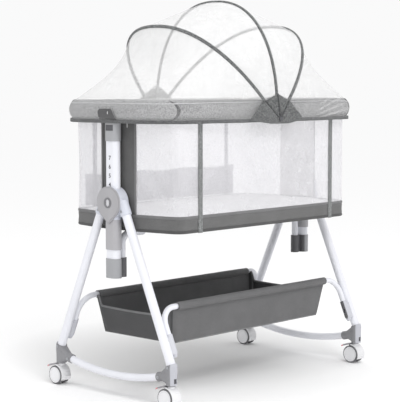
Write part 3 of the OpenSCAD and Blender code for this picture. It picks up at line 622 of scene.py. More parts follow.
# ---------- padded rail ----------
RAIL_HALF_H = (rail_high.z - rail_low.z) / 2
RAIL_MID_Z = (rail_high.z + rail_low.z) / 2
RAIL_X = rail_high.x + 4 * MM        # the padding swells a little past its plain shape
RAIL_Y = rail_high.y + 1 * MM
RAIL_SWELL = 0.9 * MM
RAIL_PUCKERS = 11 * MM
SECTION_POINTS = 60
END_POWER = 1.74
PIPING_POINT = int(SECTION_POINTS * 0.14)
SEAM_ANGLES = np.radians([62, 118, -70, -110])
SLEEVE_X = 378 * MM      # the end sleeves cover the rail's centreline beyond this x
SLEEVE_BOW = 24 * MM
PATCH_HALF_W, PATCH_H = 36 * MM, 34 * MM

rail_loop = Loop(rounded_rectangle(RAIL_X - RAIL_WIDTH / 2, RAIL_Y - RAIL_WIDTH / 2,
                                   RAIL_CORNER - RAIL_WIDTH / 2), 5 * MM)


def rail_section(grow=0.0, power=2.7):
    """Section of the padded rail, flat-topped with rounded edges, as (outward, z) from its centreline."""
    section = superellipse(RAIL_WIDTH / 2 + grow, RAIL_HALF_H + grow, power, SECTION_POINTS)
    section[:, 1] += RAIL_MID_Z
    return section


def rail_sweep(grow=0.0, rows=None, ring=None):
    """The section, or a ring on its upper outer seam, carried round the rail: flat-faced along the sides,
    rounder at the ends."""
    rows = np.arange(rail_loop.count) if rows is None else np.asarray(rows)
    share = np.clip((np.abs(rail_loop.points[rows, 0]) - 240 * MM) / (170 * MM), 0, 1)[:, None, None]
    sections = [rail_section(grow), rail_section(grow, END_POWER)]
    if ring is not None:
        sections = [ring + section[PIPING_POINT] for section in sections]
    flat, rounder = (rail_loop.sweep(section, rows) for section in sections)
    return flat * (1 - share) + rounder * share


def crumple(grid, arc, seam_depth=1.3 * MM):
    """Sewn seams along a swept tube, with the small puckers beside them and soft swells between."""
    outward = unit(grid - grid.mean(axis=1, keepdims=True))
    angles = np.linspace(0, TURN, grid.shape[1], endpoint=False)[:, None]
    gap = np.abs((angles - SEAM_ANGLES + math.pi) % TURN - math.pi)
    near = np.exp(-(gap / 0.10) ** 2).max(axis=1)
    beside = np.exp(-((gap - 0.20) / 0.16) ** 2).max(axis=1)
    wave = np.sin(TURN * arc / RAIL_PUCKERS + 2.5 * wobble(points_at(arc, 0, 0), 60 * MM))
    soft = wobble(grid, 55 * MM) + 0.5 * wobble(grid, 22 * MM, 3.1)
    push = RAIL_SWELL * soft - seam_depth * near + 0.45 * MM * wave[:, None] * beside
    return grid + outward * push[:, :, None]


def make_rail():
    cover = grid_piece("rail_cover_fabric", crumple(rail_sweep(), rail_loop.arc), RAIL_CLOTH,
                       wrap_rows=True, wrap_cols=True)
    piping = grid_piece("rail_piping", rail_sweep(1.3 * MM, ring=circle(1.4 * MM, 8)), PIPING_CLOTH,
                        wrap_rows=True, wrap_cols=True)
    piping.parent = cover
    hand_over(cover, "bed", "rail_cover")


def bowed(points, row, amount):
    """Bows a section of a sleeve along the rail: most at its top and bottom, not at its outer middle."""
    out, z = rail_section().T
    across = np.where(out > 0, np.abs(z - RAIL_MID_Z) / RAIL_HALF_H * 0.98, 1.0)
    bow = -SLEEVE_BOW * (1 - np.sqrt(1 - across ** 2))
    step = rail_loop.points[(row + 1) % rail_loop.count] - rail_loop.points[row - 1]
    points[:, :2] += amount * unit(step) * bow[:, None]


def make_sleeve_edge(name, start, sign):
    """Narrow dark strip in front of a sleeve's bowed hem: painted shadow of the sleeve's edge."""
    strip = [(start + sign * k) % rail_loop.count for k in (-1, 0, 1)]
    edge = crumple(rail_sweep(0.5 * MM, strip), rail_loop.arc[strip], seam_depth=0.5 * MM)
    for i, row in enumerate(strip):
        bowed(edge[i], row, sign * (1.3, 1.15, 1.0)[i if sign < 0 else 2 - i])
    made = grid_piece(name, edge, SLEEVE_EDGE_SHADOW, wrap_cols=True)
    thicken(made, 0.8 * MM, offset=-1)
    return made


def make_rail_sleeve(end):
    """Second layer of cloth, wrapped round one end of the rail, with bowed hems that turn in."""
    name = "rail_sleeve_" + ENDS[end]
    rows = rail_loop.run(rail_loop.points[:, 0] * end > SLEEVE_X)
    grid = crumple(rail_sweep(1.5 * MM, rows), rail_loop.arc[rows], seam_depth=0.8 * MM)
    last = len(rows) - 1
    middle = grid.mean(axis=1, keepdims=True)
    for k, share in enumerate((0.93, 0.965, 0.985, 0.995)):
        for i in (k, last - k):
            grid[i] = middle[i] + (grid[i] - middle[i]) * share
    for k in range(8):
        bowed(grid[k], rows[k], k / 8 - 1)
        bowed(grid[last - k], rows[last - k], 1 - k / 8)
    sleeve = grid_piece(name, grid, SLEEVE_CLOTH, wrap_cols=True)
    thicken(sleeve, 1.0 * MM, offset=-1)
    # the dark strips at each hem are painted shadow of the sleeve's edge
    edges = [make_sleeve_edge(name + "_edge_shadow_start", rows[0], -1),
             make_sleeve_edge(name + "_edge_shadow_end", rows[-1], 1)]
    size = (length_of(rail_section(), closed=True), len(rows) * rail_loop.length / rail_loop.count)
    hand_over_sheet(sleeve, "rail_fabric", "bed", size, ["rail_cover_fabric"], with_pieces=edges)


def white_oval(name, centre, end, half_w, half_h):
    """Small raised oval on an end face, with a hollow middle."""
    x, y, z = centre
    t = np.linspace(0, TURN, 24, endpoint=False)
    scale, lift = np.array([(1.0, 0.0), (0.92, 0.7), (0.62, 0.7), (0.5, 0.2)]).T[:, :, None]
    grid = points_at(x + end * lift * MM, y + half_w * scale * np.cos(t), z + half_h * scale * np.sin(t))
    faces = grid_faces(4, 24, wrap_cols=True) + [tuple(range(72, 96))]
    return piece(name, grid.reshape(-1, 3), faces, WHITE_TRIM)


def make_end_patch(end):
    """Dark reinforcing patch where the spigot enters the rail, with a piped edge and a white eyelet."""
    name = "rail_patch_" + ENDS[end]
    section = rail_section(grow=4.4 * MM, power=END_POWER)
    outer = sorted((p for p in section if p[0] > 0.3 * RAIL_WIDTH / 2), key=lambda p: p[1])
    line = resample(outer, 60)
    line = line[line[:, 1] < rail_low.z + PATCH_H]
    up = np.linspace(0, 1, len(line))
    narrow = 1 - 0.16 * up - 0.22 * np.maximum(0, (up - 0.72) / 0.28) ** 2.4
    y = np.linspace(-1, 1, 33) * PATCH_HALF_W * narrow[:, None] - 4 * MM * end
    grid = points_at(end * (RAIL_X - RAIL_WIDTH / 2 + line[:, :1]), y, line[:, 1:])
    patch = grid_piece(name, grid, PATCH_CLOTH)
    thicken(patch, 1.2 * MM)
    edge = resample(np.concatenate([grid[:, 0], grid[-1, 1:-1], grid[::-1, -1]]), 90)
    cord = capped(name + "_piping", sweep_line(edge, circle(0.8 * MM, 8), (end, 0, 0)), SLEEVE_CLOTH)
    centre = (end * (RAIL_X + 5.2 * MM), 7 * MM * end, rail_low.z + 22 * MM)
    spot = white_oval(name + "_eyelet", centre, end, 1.9 * MM, 4.2 * MM)
    hand_over_sheet(patch, "rail_fabric", "bed", (2 * PATCH_HALF_W, PATCH_H + 6 * MM), ["rail_cover_fabric"],
                    with_pieces=[cord, spot])


make_rail()
for end in ENDS:
    make_rail_sleeve(end)
for end in ENDS:
    make_end_patch(end)


# ---------- base band ----------
BASE_H = base_high.z - base_low.z
BAND_DRAWN_H = 49        # the height that these (outward, height) points in mm are drawn for
BAND_UNDER = [(-30, 0.6), (-18, 0.3), (-8, 0), (-3, 0), (-0.6, 1.2), (0.6, 3.2), (0.8, 5.4), (0.2, 7.6),
              (-1.1, 8.9), (-0.5, 10.2), (-0.3, 13)]
BAND_RIM = [(-0.6, 38.6), (-1.4, 39.8), (-0.1, 41.2), (0.7, 43.2), (0.8, 45.6), (0.1, 47.8), (-1.4, 49),
            (-3.2, 48.9), (-3.9, 47.6), (-4.2, 44), (-4.2, 20)]


def make_base_band():
    """The band from the middle of its underside up the outside and over the top rim, in one cloth."""
    side = [(-0.3 - 1.0 * math.sin(math.pi * k / 7), 13 + 24 * k / 7) for k in range(1, 8)]
    outline = BAND_UNDER + side + BAND_RIM
    profile = [(out * MM, base_low.z + h / BAND_DRAWN_H * BASE_H) for out, h in outline]
    loop = base_loop_at(0, 6 * MM, 14 * MM)
    grid = loop.sweep(profile)
    outside = grid[:, 8:-2]
    push = 0.7 * MM * wobble(outside * (1, 1, 2), 70 * MM) + 0.3 * MM * wobble(outside, 20 * MM, 5.0)
    outside[:, :, :2] += loop.normals[:, None] * push[:, :, None]
    rows, cols, _ = grid.shape
    faces = grid_faces(rows, cols, wrap_rows=True) + [tuple(i * cols for i in reversed(range(rows)))]
    band = piece("base_band_fabric", grid.reshape(-1, 3), faces, BASE_CLOTH)
    band.data.materials.append(BINDING_CLOTH)
    band.data.materials.append(BASE_EDGE_SHADE)
    for face in band.data.polygons:
        height = face.center.z - base_low.z
        if len(face.vertices) == 4:
            # faces below 9 mm take the darker edge cloth, painted shade where the band turns under; above
            # 39.8 mm the binding
            face.material_index = 2 if height < 9 * MM else 1 if height > 39.8 * MM else 0
    across, along = 2 * base_high.y + 2 * BASE_H, 2 * base_high.x + 2 * BASE_H
    hand_over_sheet(band, "base_fabric", "bed", (across, along), ["base_board"], "base_band",
                    area=0.9 * across * along)


make_base_band()


# ---------- mattress ----------
def puff(obj, voxel, pressure, cap):
    """Inflates a closed mesh as cloth, with each point held within cap of where it began."""
    obj.data.remesh_voxel_size = voxel
    with bpy.context.temp_override(active_object=obj, object=obj):
        bpy.ops.object.voxel_remesh()
    start = np.array([v.co for v in obj.data.vertices])
    cloth = obj.modifiers.new("cloth", "CLOTH")
    settings = cloth.settings
    settings.use_pressure = True
    settings.uniform_pressure_force = pressure
    settings.effector_weights.gravity = 0
    settings.quality = 4
    settings.tension_stiffness = 20
    settings.compression_stiffness = 20
    settings.bending_stiffness = 0.3
    cloth.point_cache.frame_start = 1
    cloth.point_cache.frame_end = 20
    for step in range(1, 21):
        bpy.context.scene.frame_set(step)
    graph = bpy.context.evaluated_depsgraph_get()
    move = np.array([v.co for v in obj.evaluated_get(graph).data.vertices]) - start
    obj.modifiers.clear()
    far = np.linalg.norm(move, axis=1, keepdims=True)
    move *= np.minimum(1, cap / np.maximum(far, 1e-9))
    obj.data.vertices.foreach_set("co", (start + move).astype(np.float32).ravel())
    obj.data.update()
    obj.data.shade_smooth()
    bpy.context.scene.frame_set(1)


def make_mattress():
    low, high = mattress_low.z + 2 * MM, mattress_high.z - 3 * MM
    profile = [(-6 * MM, low), (-1 * MM, low + 3 * MM), (0, low + 8 * MM),
               (0, high - 8 * MM), (-1.5 * MM, high - 2.5 * MM), (-7 * MM, high)]
    grid = base_loop_at(-8.5 * MM, 8 * MM, 16 * MM).sweep(profile)
    rows, cols, _ = grid.shape
    faces = grid_faces(rows, cols, wrap_rows=True)
    faces += [tuple(i * cols for i in reversed(range(rows))), tuple(i * cols + cols - 1 for i in range(rows))]
    mattress = piece("mattress_cover", grid.reshape(-1, 3), faces, MATTRESS_CLOTH)
    puff(mattress, 6 * MM, 4, 4 * MM)
    piping_loop = base_loop_at(-7.5 * MM, 8 * MM, 16 * MM)
    for word, z in (("top", mattress_high.z - 2.6 * MM), ("low", mattress_low.z + 5 * MM)):
        grid = piping_loop.sweep(circle(1.3 * MM, 8) + (0, z))
        piping = grid_piece("mattress_piping_" + word, grid, WHITE_TRIM, wrap_rows=True, wrap_cols=True)
        piping.parent = mattress
    hand_over(mattress, "bed", "mattress")


make_mattress()


# ---------- net walls, end panels, straps ----------
WALL_EDGES = ["rail_cover_fabric", "base_band_fabric"]
wall_loop = base_loop_at(-1.2 * MM, 6 * MM, 10 * MM)


def make_wall(side):
    """Net wall round one long side, from end panel to end panel, slack between rail and base."""
    rows = wall_loop.run(wall_loop.points[:, 1] * side > BASE_MID_Y - 4 * MM)
    heights = np.linspace(wall_low.z - 0.5 * MM, wall_high.z + 1.5 * MM, 34)
    grid = wall_loop.sweep([(0, z) for z in heights], rows)
    arc = wall_loop.arc[:len(rows), None]
    up = np.linspace(0, 1, len(heights))
    slack = np.sin(math.pi * up)
    corner = np.exp(-((np.abs(grid[:, :, 0]) - 382 * MM) / (28 * MM)) ** 2)
    fold = np.sin(TURN * arc / (17 * MM) + 3 * wobble(points_at(arc, heights, 0), 90 * MM))
    push = slack * (1.6 * MM * wobble(grid, 120 * MM) + 1.3 * MM * corner * fold - 2.2 * MM)
    tuck = 0.5 * MM * np.sin(TURN * arc / (9 * MM)) * np.exp(-(1 - up) / 0.05)
    grid[:, :, :2] += wall_loop.normals[rows][:, None] * (push + tuck)[:, :, None]
    wall = grid_piece("net_wall_" + SIDES[side], grid, WALL_NET, uv=True)
    hand_over_sheet(wall, "mesh_fabric", "bed", (heights[-1] - heights[0], float(arc[-1, 0])), WALL_EDGES,
                    "mesh_walls" if side < 0 else None)


def make_end_panel(end):
    """Cloth panel behind a column, bound at both edges, with a pressed vertical crease and a pale lining."""
    name = "end_panel_" + ENDS[end]
    half = BASE_MID_Y - 0.5 * MM
    y = np.linspace(-half, half, 60)[:, None]
    z = np.linspace(panel_low.z - 0.4 * MM, panel_high.z + 1.2 * MM, 60)
    flat = points_at(0, y, z)
    fold = 1.1 * MM * np.exp(-np.abs(y + 0.47 * half * end) / (2.2 * MM))
    soft = 0.8 * MM * wobble(flat, 65 * MM, 2.0 + end) + 0.35 * MM * wobble(flat, 18 * MM, end)
    x = end * (panel_high.x - 1.6 * MM + fold + soft)
    panel = grid_piece(name, points_at(x, y, z), PANEL_CLOTH)
    thicken(panel, 1.0 * MM)
    trims = []
    tape = superellipse(3.4 * MM, 1.1 * MM, 3, 14)
    heights = np.linspace(z[0], z[-1], 30)
    for side, word in SIDES.items():
        edge = points_at(end * (panel_high.x - 0.6 * MM), side * (half - 2.5 * MM), heights)
        trims.append(capped(f"{name}_binding_{word}", sweep_line(edge, tape, (0, 1, 0)), BINDING_CLOTH))
    centre = (end * (panel_high.x + 0.1 * MM), 37 * MM * end, panel_high.z - 14 * MM)
    slot = white_oval(name + "_eyelet", centre, end, 1.9 * MM, 6.5 * MM)
    inner = points_at(end * (panel_high.x - 4.6 * MM) + 0.5 * (x - x.mean()), y, z)
    lining = grid_piece(name + "_lining", inner, LINING_CLOTH)
    thicken(lining, 0.8 * MM)
    hand_over_sheet(panel, "base_fabric", "bed", (2 * half, z[-1] - z[0]), WALL_EDGES,
                    "end_panels" if end < 0 else None, with_pieces=trims + [lining, slot])


def make_strap(end, side):
    """Flat webbing from the rail down over the base band, bent round the band's two rims."""
    name = f"strap_{ENDS[end]}_{SIDES[side]}"
    low, top = base_low.z - 0.6 * MM, rail_low.z - 0.4 * MM
    z = np.linspace(low, top, 80)[:, None]
    across = np.linspace(-1, 1, 13)
    rims = (np.exp(-((z - base_low.z - 5 * MM) / (4 * MM)) ** 2)
            + np.exp(-((z - base_high.z + 5 * MM) / (5 * MM)) ** 2))
    sway = 0.5 * MM * wobble(points_at(end, side, z), 80 * MM)
    x = end * STRAP_X + across * STRAP_WIDTH / 2 + 0.3 * MM * wobble(points_at(end, across, z), 30 * MM)
    y = side * (base_high.y + 0.7 * MM + 0.9 * MM * rims + sway - 0.35 * MM * across ** 4)
    strap = grid_piece(name, points_at(x, y, z), STRAP_CLOTH)
    thicken(strap, 1.3 * MM)
    hand_over_sheet(strap, "base_fabric", "bed", (STRAP_WIDTH, top - low), ["base_band_fabric"],
                    "straps" if end < 0 and side < 0 else None)


for side in SIDES:
    make_wall(side)
for end in ENDS:
    make_end_panel(end)
for end in ENDS:
    for side in SIDES:
        make_strap(end, side)


# ---------- rear pocket ----------
def make_pocket():
    """Three open compartments behind the bed: a flat back, a bellied front and a bound, elastic top edge."""
    y_back, deep = pocket_low.y + 0.6 * MM, pocket_high.y - pocket_low.y - 1.5 * MM
    width, height = pocket_high.x - pocket_low.x, pocket_high.z - pocket_low.z
    x = np.linspace(pocket_low.x, pocket_high.x, 220)
    up = np.linspace(0, 1, 26)[:, None]
    belly = (0.35 + 0.65 * np.sin(math.pi * np.minimum(1, up * 1.12) ** 0.8)) * np.minimum(1, up * 6)
    share = (x - pocket_low.x) / (width / 3) % 1.0      # across one compartment
    share[-1] = 0
    arch = np.abs(np.sin(math.pi * share))
    sag = 5 * MM * up ** 3 * arch ** 2.55
    ripple = 0.6 * MM * wobble(points_at(x, 0, up * 0.1), 26 * MM) * up
    z = pocket_low.z + up * height
    front = points_at(x, y_back + deep * belly * arch ** 0.55 + ripple, z - sag)
    sheet = grid_piece("pocket_front", front, POCKET_CLOTH)
    lining = grid_piece("pocket_back", points_at(x, y_back - 0.2 * MM, z), POCKET_CLOTH)
    thicken(sheet, 1.0 * MM)
    thicken(lining, 0.8 * MM)
    path = front[-1].copy()
    path[:, 1] = np.clip(path[:, 1], y_back, None)
    tape = superellipse(1.3 * MM, 3.6 * MM, 3, 14)
    trim = capped("pocket_binding", sweep_line(path, tape, (0, 1, 0)), BINDING_CLOTH)
    hand_over_sheet(sheet, "rail_fabric", "bed", (width * 1.04, height), ["net_wall_rear"], "storage_pocket",
                    held="hung", with_pieces=[trim])
    hand_over_sheet(lining, "rail_fabric", "bed", (width, height), ["net_wall_rear"])


make_pocket()


# ---------- storage basket ----------
BASKET_END_DROP = 30 * MM
FLOOR_ROWS = 8
SLEEVE_RADIUS = TUBE_R + 1.9 * MM


def basket_grid():
    """Open bag, row by row from the middle of its floor to its rim, slack along the sides and ends."""
    outline = Loop(rounded_rectangle(1.0, 1.0, 0.035), 8.0 / 420)
    (px, py), (nx, ny) = outline.points.T, outline.normals.T
    climb = np.concatenate([[0.0, 0.015, 0.04], np.linspace(0.09, 1, 20)])
    depth = np.concatenate([np.linspace(0.08, 0.94, FLOOR_ROWS), np.ones(len(climb))])[:, None]
    up = np.concatenate([np.zeros(FLOOR_ROWS), climb])[:, None]
    low_x, low_y = basket_high.x - 20 * MM, BASKET_LOW_Y
    top_x, top_y = basket_high.x - 3 * MM, TUBE_Y - 1.5 * MM
    x = px * (low_x + (top_x - low_x) * up) * depth
    y = py * (low_y + (top_y - low_y) * up) * depth
    end = np.maximum(0, (np.abs(px) - 0.84) / 0.16)
    inner = np.clip((0.93 - np.abs(py)) / 0.10, 0, 1)
    dip = inner * inner * (3 - 2 * inner) * np.where(end > 0.9, 1.0, end)      # of the rim, between the tubes
    top = TUBE_Z - dip * (BASKET_END_DROP + 4 * MM * np.cos(py * math.pi / 2))
    edge = np.maximum(np.abs(px), np.abs(py)) * depth
    z = basket_low.z + (top - basket_low.z) * up + 5 * MM * np.where(up == 0, edge ** 2, (1 - up) ** 6)
    belly = 4.5 * MM * np.sin(math.pi * up) * np.where(np.abs(py) < 0.9, 1, -0.3)
    here = points_at(x, y, z)
    folds = (1.6 * wobble(here, 130 * MM) + 0.7 * wobble(here, 40 * MM, 4.0)) * MM
    push = belly + folds * np.sin(math.pi * np.minimum(1, up + 0.1))
    return points_at(x + nx * push * 0.8, y + ny * push, z)


def make_basket_sleeve(side):
    """The bag's cloth wrapped round one tube."""
    half = basket_high.x - 11 * MM
    path = points_at(np.linspace(-1, 1, 120) * half, side * TUBE_Y, TUBE_Z)
    tube = sweep_line(path, circle(SLEEVE_RADIUS, 26), (0, 1, 0))
    swell = 0.45 * MM * (wobble(tube, 30 * MM) + 0.4 * wobble(tube, 9 * MM))
    tube += unit(tube - path[:, None]) * swell[:, :, None]
    sleeve = grid_piece("basket_sleeve_" + SIDES[side], tube, BASKET_CLOTH, wrap_cols=True)
    thicken(sleeve, 1.2 * MM, offset=-1)
    hand_over_sheet(sleeve, "basket_fabric", "stand", (TURN * SLEEVE_RADIUS, 2 * half), ["basket_tubes"])


def make_basket():
    grid = basket_grid()
    rows, cols, _ = grid.shape
    faces = grid_faces(rows, cols, wrap_cols=True) + [tuple(reversed(range(cols)))]
    bag = piece("basket_fabric", grid.reshape(-1, 3), faces, BASKET_CLOTH)
    bag.data.materials.append(BASKET_END)
    for face in bag.data.polygons:
        # faces that look along X, the basket's ends, take the darker cloth as painted shade
        face.material_index = 1 if abs(face.normal.x) > 0.75 else 0
    thicken(bag, 1.6 * MM, offset=-1)
    trims = []
    tape = superellipse(2.0 * MM, 3.4 * MM, 2.6, 12)
    for end, letter in ENDS.items():
        rim = [p for p in grid[-1] if p[0] * end > basket_high.x - 30 * MM and abs(p[1]) < 0.93 * TUBE_Y]
        path = resample(sorted(rim, key=lambda p: p[1]), 60)
        trims.append(capped("basket_hem_" + letter, sweep_line(path, tape, (1, 0, 0)), BINDING_CLOTH))
    for side in SIDES:
        make_basket_sleeve(side)
    seam = resample(grid[FLOOR_ROWS + 1], 400, closed=True)
    seam = sweep_level(np.vstack([seam, seam[:1]]), circle(1.7 * MM, 8), sign=-1)
    trims.append(grid_piece("basket_seam", seam, POCKET_CLOTH, wrap_cols=True))
    deep = math.hypot(TUBE_Y - BASKET_LOW_Y, TUBE_Z - basket_low.z)
    across, along = 2 * BASKET_LOW_Y + 2 * deep, 2 * basket_high.x + 2 * (deep - BASKET_END_DROP)
    hand_over_sheet(bag, "basket_fabric", "stand", (across, along), ["basket_tubes"], "basket", held="hung",
                    area=across * along - 4 * deep * (deep - BASKET_END_DROP), with_pieces=trims)


make_basket()


# ---------- column socket windows, with painted shade in their recesses ---
WINDOW_Y, WINDOW_LOW, WINDOW_HIGH = 14.7 * MM, 766.3 * MM, 782.6 * MM
WINDOW_DEPTH = 442.7 * MM       # how far out the recess in a column socket goes down to


def make_window(end):
    """Dark plate on the floor of the recess below the rail's release button: painted shade in the recess."""
    rings = []
    for grow, out in ((0, 0), (0, 0.5 * MM), (-0.5 * MM, 0.8 * MM)):
        half, low, high = WINDOW_Y + grow, WINDOW_LOW - grow, WINDOW_HIGH + grow
        y, z = np.array([-half, half, half, -half]), [low, low, high, high]
        rings.append(points_at(end * (WINDOW_DEPTH + out), end * y, z))
    window = capped("socket_recess_shade_" + ENDS[end], np.array(rings), DARK_PLASTIC)
    window.data.shade_flat()
    hand_over(window, "bed")


for end in ENDS:
    make_window(end)


# ---------- canopy ----------
PIVOT = np.array([0, 0, PIVOT_Z])
NET_START = 14 * MM        # the net ends this far from the pivots, under the gussets
NET_COLUMNS = 84
HEM_TILT = 90.4
GUSSET_X = 134 * MM
WIDTHS = [(-90, HEM_Y)] + [hoop[:2] for hoop in HOOPS.values()] + [(90, HEM_Y)]
THIN_CLOTH = 0.5 * MM      # the gussets and the hoops' sleeves
# name, bodies it hangs between, and the tilts where it starts and ends
CANOPY_PARTS = [
    ("left_wing", ("hoop_left",), -HEM_TILT, HOOPS["left"][0]),
    ("mid_left", ("hoop_mid", "hoop_left"), 0, HOOPS["left"][0]),
    ("mid_right", ("hoop_right", "hoop_mid"), HOOPS["right"][0], 0),
    ("right_wing", ("bed", "hoop_right"), HEM_TILT, HOOPS["right"][0]),
]
# Edge of the dark gusset over each pivot: reach at each tilt
GUSSET_TILTS = (-90, -61, 0, 49, 72, 90)
GUSSET_REACH = (136 * MM, 87 * MM, 74 * MM, 75 * MM, 84 * MM, 104 * MM)
REAR_GUSSET = 0.34        # the rear gussets stand this much taller
RIVET_RINGS = [(4.6, 2.2), (4.6, 4.4), (3.8, 5.2), (1.9, 5.2), (1.5, 4.4)]      # radius and lift, mm


def hem_outline():
    """Half the hem's outline, from front to rear round end B: tucked under the rail, then straight to the
    gussets."""
    points = rounded_rectangle(RAIL_X - 5 * MM, RAIL_Y + 1 * MM, RAIL_CORNER)
    points += [(sx * GUSSET_X, sy * HEM_Y) for sx in (-1, 1) for sy in (-1, 1)]
    hull = [points[i] for i in geometry.convex_hull_2d([Vector(p) for p in points])]
    half = sorted((p for p in hull if p[0] > 0), key=lambda p: p[1])
    return np.array([(0, -HEM_Y)] + half + [(0, HEM_Y)])


HEM = hem_outline()


def at_tilt(tilt, y, reach):
    """Points at a tilt from upright about the pivots, at y across the bed and that reach from their axis."""
    q = math.radians(tilt)
    return points_at(reach * math.sin(q), y, PIVOT_Z + reach * math.cos(q))


def half_width(tilt):
    """Half the canopy's width across the bed at a tilt from upright; at a hoop it is the hoop's own."""
    return float(np.interp(tilt, *zip(*WIDTHS)))


def chord(r1, q1, r2, q2, q):
    """Reach at tilt q of the straight line from reach r1 at tilt q1 to reach r2 at tilt q2."""
    s1, s2 = math.sin(math.radians(q2 - q)), math.sin(math.radians(q - q1))
    return math.sin(math.radians(q2 - q1)) / (s1 / r1 + s2 / r2)


def net_reach(tilt, f):
    """Distance of the net from the pivots' axis at that tilt, at each f from -1 to 1 across the bed."""
    s = abs(tilt)
    lean, _, height = HOOPS["left" if tilt < 0 else "right"]
    lean = abs(lean)
    arch = np.maximum(0, 1 - np.abs(f) ** HOOP_POWER) ** (1 / HOOP_POWER) + 1e-6
    rear = HEM[len(HEM) // 2:-1]
    edge = np.interp(np.abs(f) * HEM_Y, rear[:, 1], rear[:, 0])
    if s <= lean:
        return chord(HOOPS["mid"][2] * arch, 0, height * arch, lean, s)
    if s >= SHOULDER:
        v = min(1.0, (s - SHOULDER) / (90 - SHOULDER))
        over_rail = edge - 6 * MM * (1 - v) + 10 * MM * math.sin(math.pi * v)
        return over_rail / math.sin(math.radians(s))
    u = (s - lean) / (SHOULDER - lean)
    line = chord(height * arch, lean, (edge - 6 * MM) / math.sin(math.radians(SHOULDER)), SHOULDER, s)
    return line * (1 - 0.13 * 4 * u * (1 - u) * (1 - f * f))


def even_tilts(start, end, step):
    """Tilts from start to end whose rows are evenly spaced along the middle of the net."""
    tilts = np.linspace(start, end, 300)
    middle = np.array([at_tilt(t, 0, net_reach(t, 0)) for t in tilts])
    far = travelled(middle)
    return np.interp(np.linspace(0, far[-1], int(far[-1] / step)), far, tilts)


def net_grid(tilts):
    """The net drawn tight, one row for each tilt."""
    f = -np.cos(np.linspace(0, math.pi, 241))
    rows = []
    for tilt in tilts:
        reach = net_reach(tilt, f)
        kept = reach > NET_START
        curve = np.stack([f[kept], reach[kept]], axis=1)
        curve = np.vstack([(curve[0, 0], NET_START), curve, (curve[-1, 0], NET_START)])
        curve = resample(curve * (half_width(tilt), 1), NET_COLUMNS)
        rows.append(at_tilt(tilt, curve[:, 0], curve[:, 1]))
    return np.stack(rows)


def net_slack(grid, tilts):
    """Moves the net in and out: folds from the pivots, slack between hoops, gathers at the hem, and pleats
    at end B."""
    for row, tilt in zip(grid, tilts):
        s = abs(tilt)
        lean = abs(HOOPS["left" if tilt < 0 else "right"][0])
        loose = min(1.0, abs(s - lean) / 10, s / 10) if s < SHOULDER else 1.0
        hem = math.exp(-(90 - min(s, 90)) / 5)
        wing = max(0.0, (s - lean) / (90 - lean))
        radial = (row - PIVOT) * (1, 0, 1)
        reach = np.linalg.norm(radial, axis=1)
        fan = 1.2 * MM * math.sin(math.radians(tilt) * 26) * np.exp(-reach / (110 * MM)) * loose
        slack = loose * (2.4 * wobble(row, 110 * MM) + 0.9 * wobble(row, 38 * MM, 2.0)) * MM * (0.5 + wing)
        gathers = TURN * travelled(row) / (15 * MM) + 3 * wobble(row * (1, 1, 0), 70 * MM)
        push = fan + slack - 0.4 * MM + hem * 0.9 * MM * np.sin(gathers)
        if tilt > lean:
            turned = points_at(row[:, 1], row[:, 2], 0)
            wave = np.sin(TURN * row[:, 1] / (52 * MM) + 2 * wobble(turned, 120 * MM))
            push += 4 * MM * wing * (1 - hem) * wave
        row += unit(radial) * push[:, None]
    return grid


def follow(obj, bodies, tilt_a=None, tilt_b=None):
    """Ties a canopy piece whose only body is the left hoop to that hoop, where it folds flat against it; any
    other piece only has its placement baked into its mesh.
    """
    if bodies == ("hoop_left",):
        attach(obj, "hoop_left")
        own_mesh(obj)
        return
    [tuple(at_tilt(t, 0, 0.3)) for t in (tilt_a, tilt_b)]
    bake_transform(obj)


def gusset_line(side, tilt, shares):
    """Points on a gusset at that tilt, at shares of the way from the pivot to its edge."""
    k = min(max(int(np.searchsorted(GUSSET_TILTS, tilt)), 1), len(GUSSET_TILTS) - 1)
    reach = chord(GUSSET_REACH[k - 1], GUSSET_TILTS[k - 1], GUSSET_REACH[k], GUSSET_TILTS[k], tilt) * shares
    if side > 0 and abs(tilt) < 89:
        reach = reach * (1 + REAR_GUSSET * math.cos(math.radians(tilt)))
    arch = (1 - np.minimum(1, reach / HOOPS["mid"][2]) ** HOOP_POWER) ** (1 / HOOP_POWER)
    over_net = half_width(tilt) * (arch if abs(tilt) < 75 else 1.0) + 3.5 * MM
    return at_tilt(tilt, side * ((HEM_Y + 2.6 * MM) * (1 - shares) + over_net * shares), reach)


def make_gusset(part, bodies, tilt_a, tilt_b, side):
    tilt_a, tilt_b = np.clip((tilt_a, tilt_b), -90.0, 90.0)
    tilts = np.linspace(min(tilt_a, tilt_b), max(tilt_a, tilt_b), 24)
    grid = np.array([gusset_line(side, tilt, np.linspace(0.04, 1, 14)) for tilt in tilts])
    gusset = grid_piece(f"gusset_{part}_{SIDES[side]}", grid, GUSSET_CLOTH)
    thicken(gusset, THIN_CLOTH)
    apply_modifiers(gusset)
    follow(gusset, bodies, tilt_a, tilt_b)
    wide, high = (float(np.ptp(np.append(grid[:, -1, k], PIVOT[k]))) for k in (0, 2))
    hand_over_sheet(gusset, "base_fabric", None, (wide, high), ["net_" + part],
                    area=min(surface_area(grid), wide * high))


def make_rivet(side):
    turn = np.linspace(0, TURN, 20, endpoint=False)
    radius, lift = np.array(RIVET_RINGS).T[:, :, None] * MM
    rings = points_at(radius * np.cos(turn), side * (HEM_Y + lift), PIVOT_Z - radius * np.sin(turn) * side)
    return capped("pivot_rivet_" + SIDES[side], rings, DARK_PLASTIC)


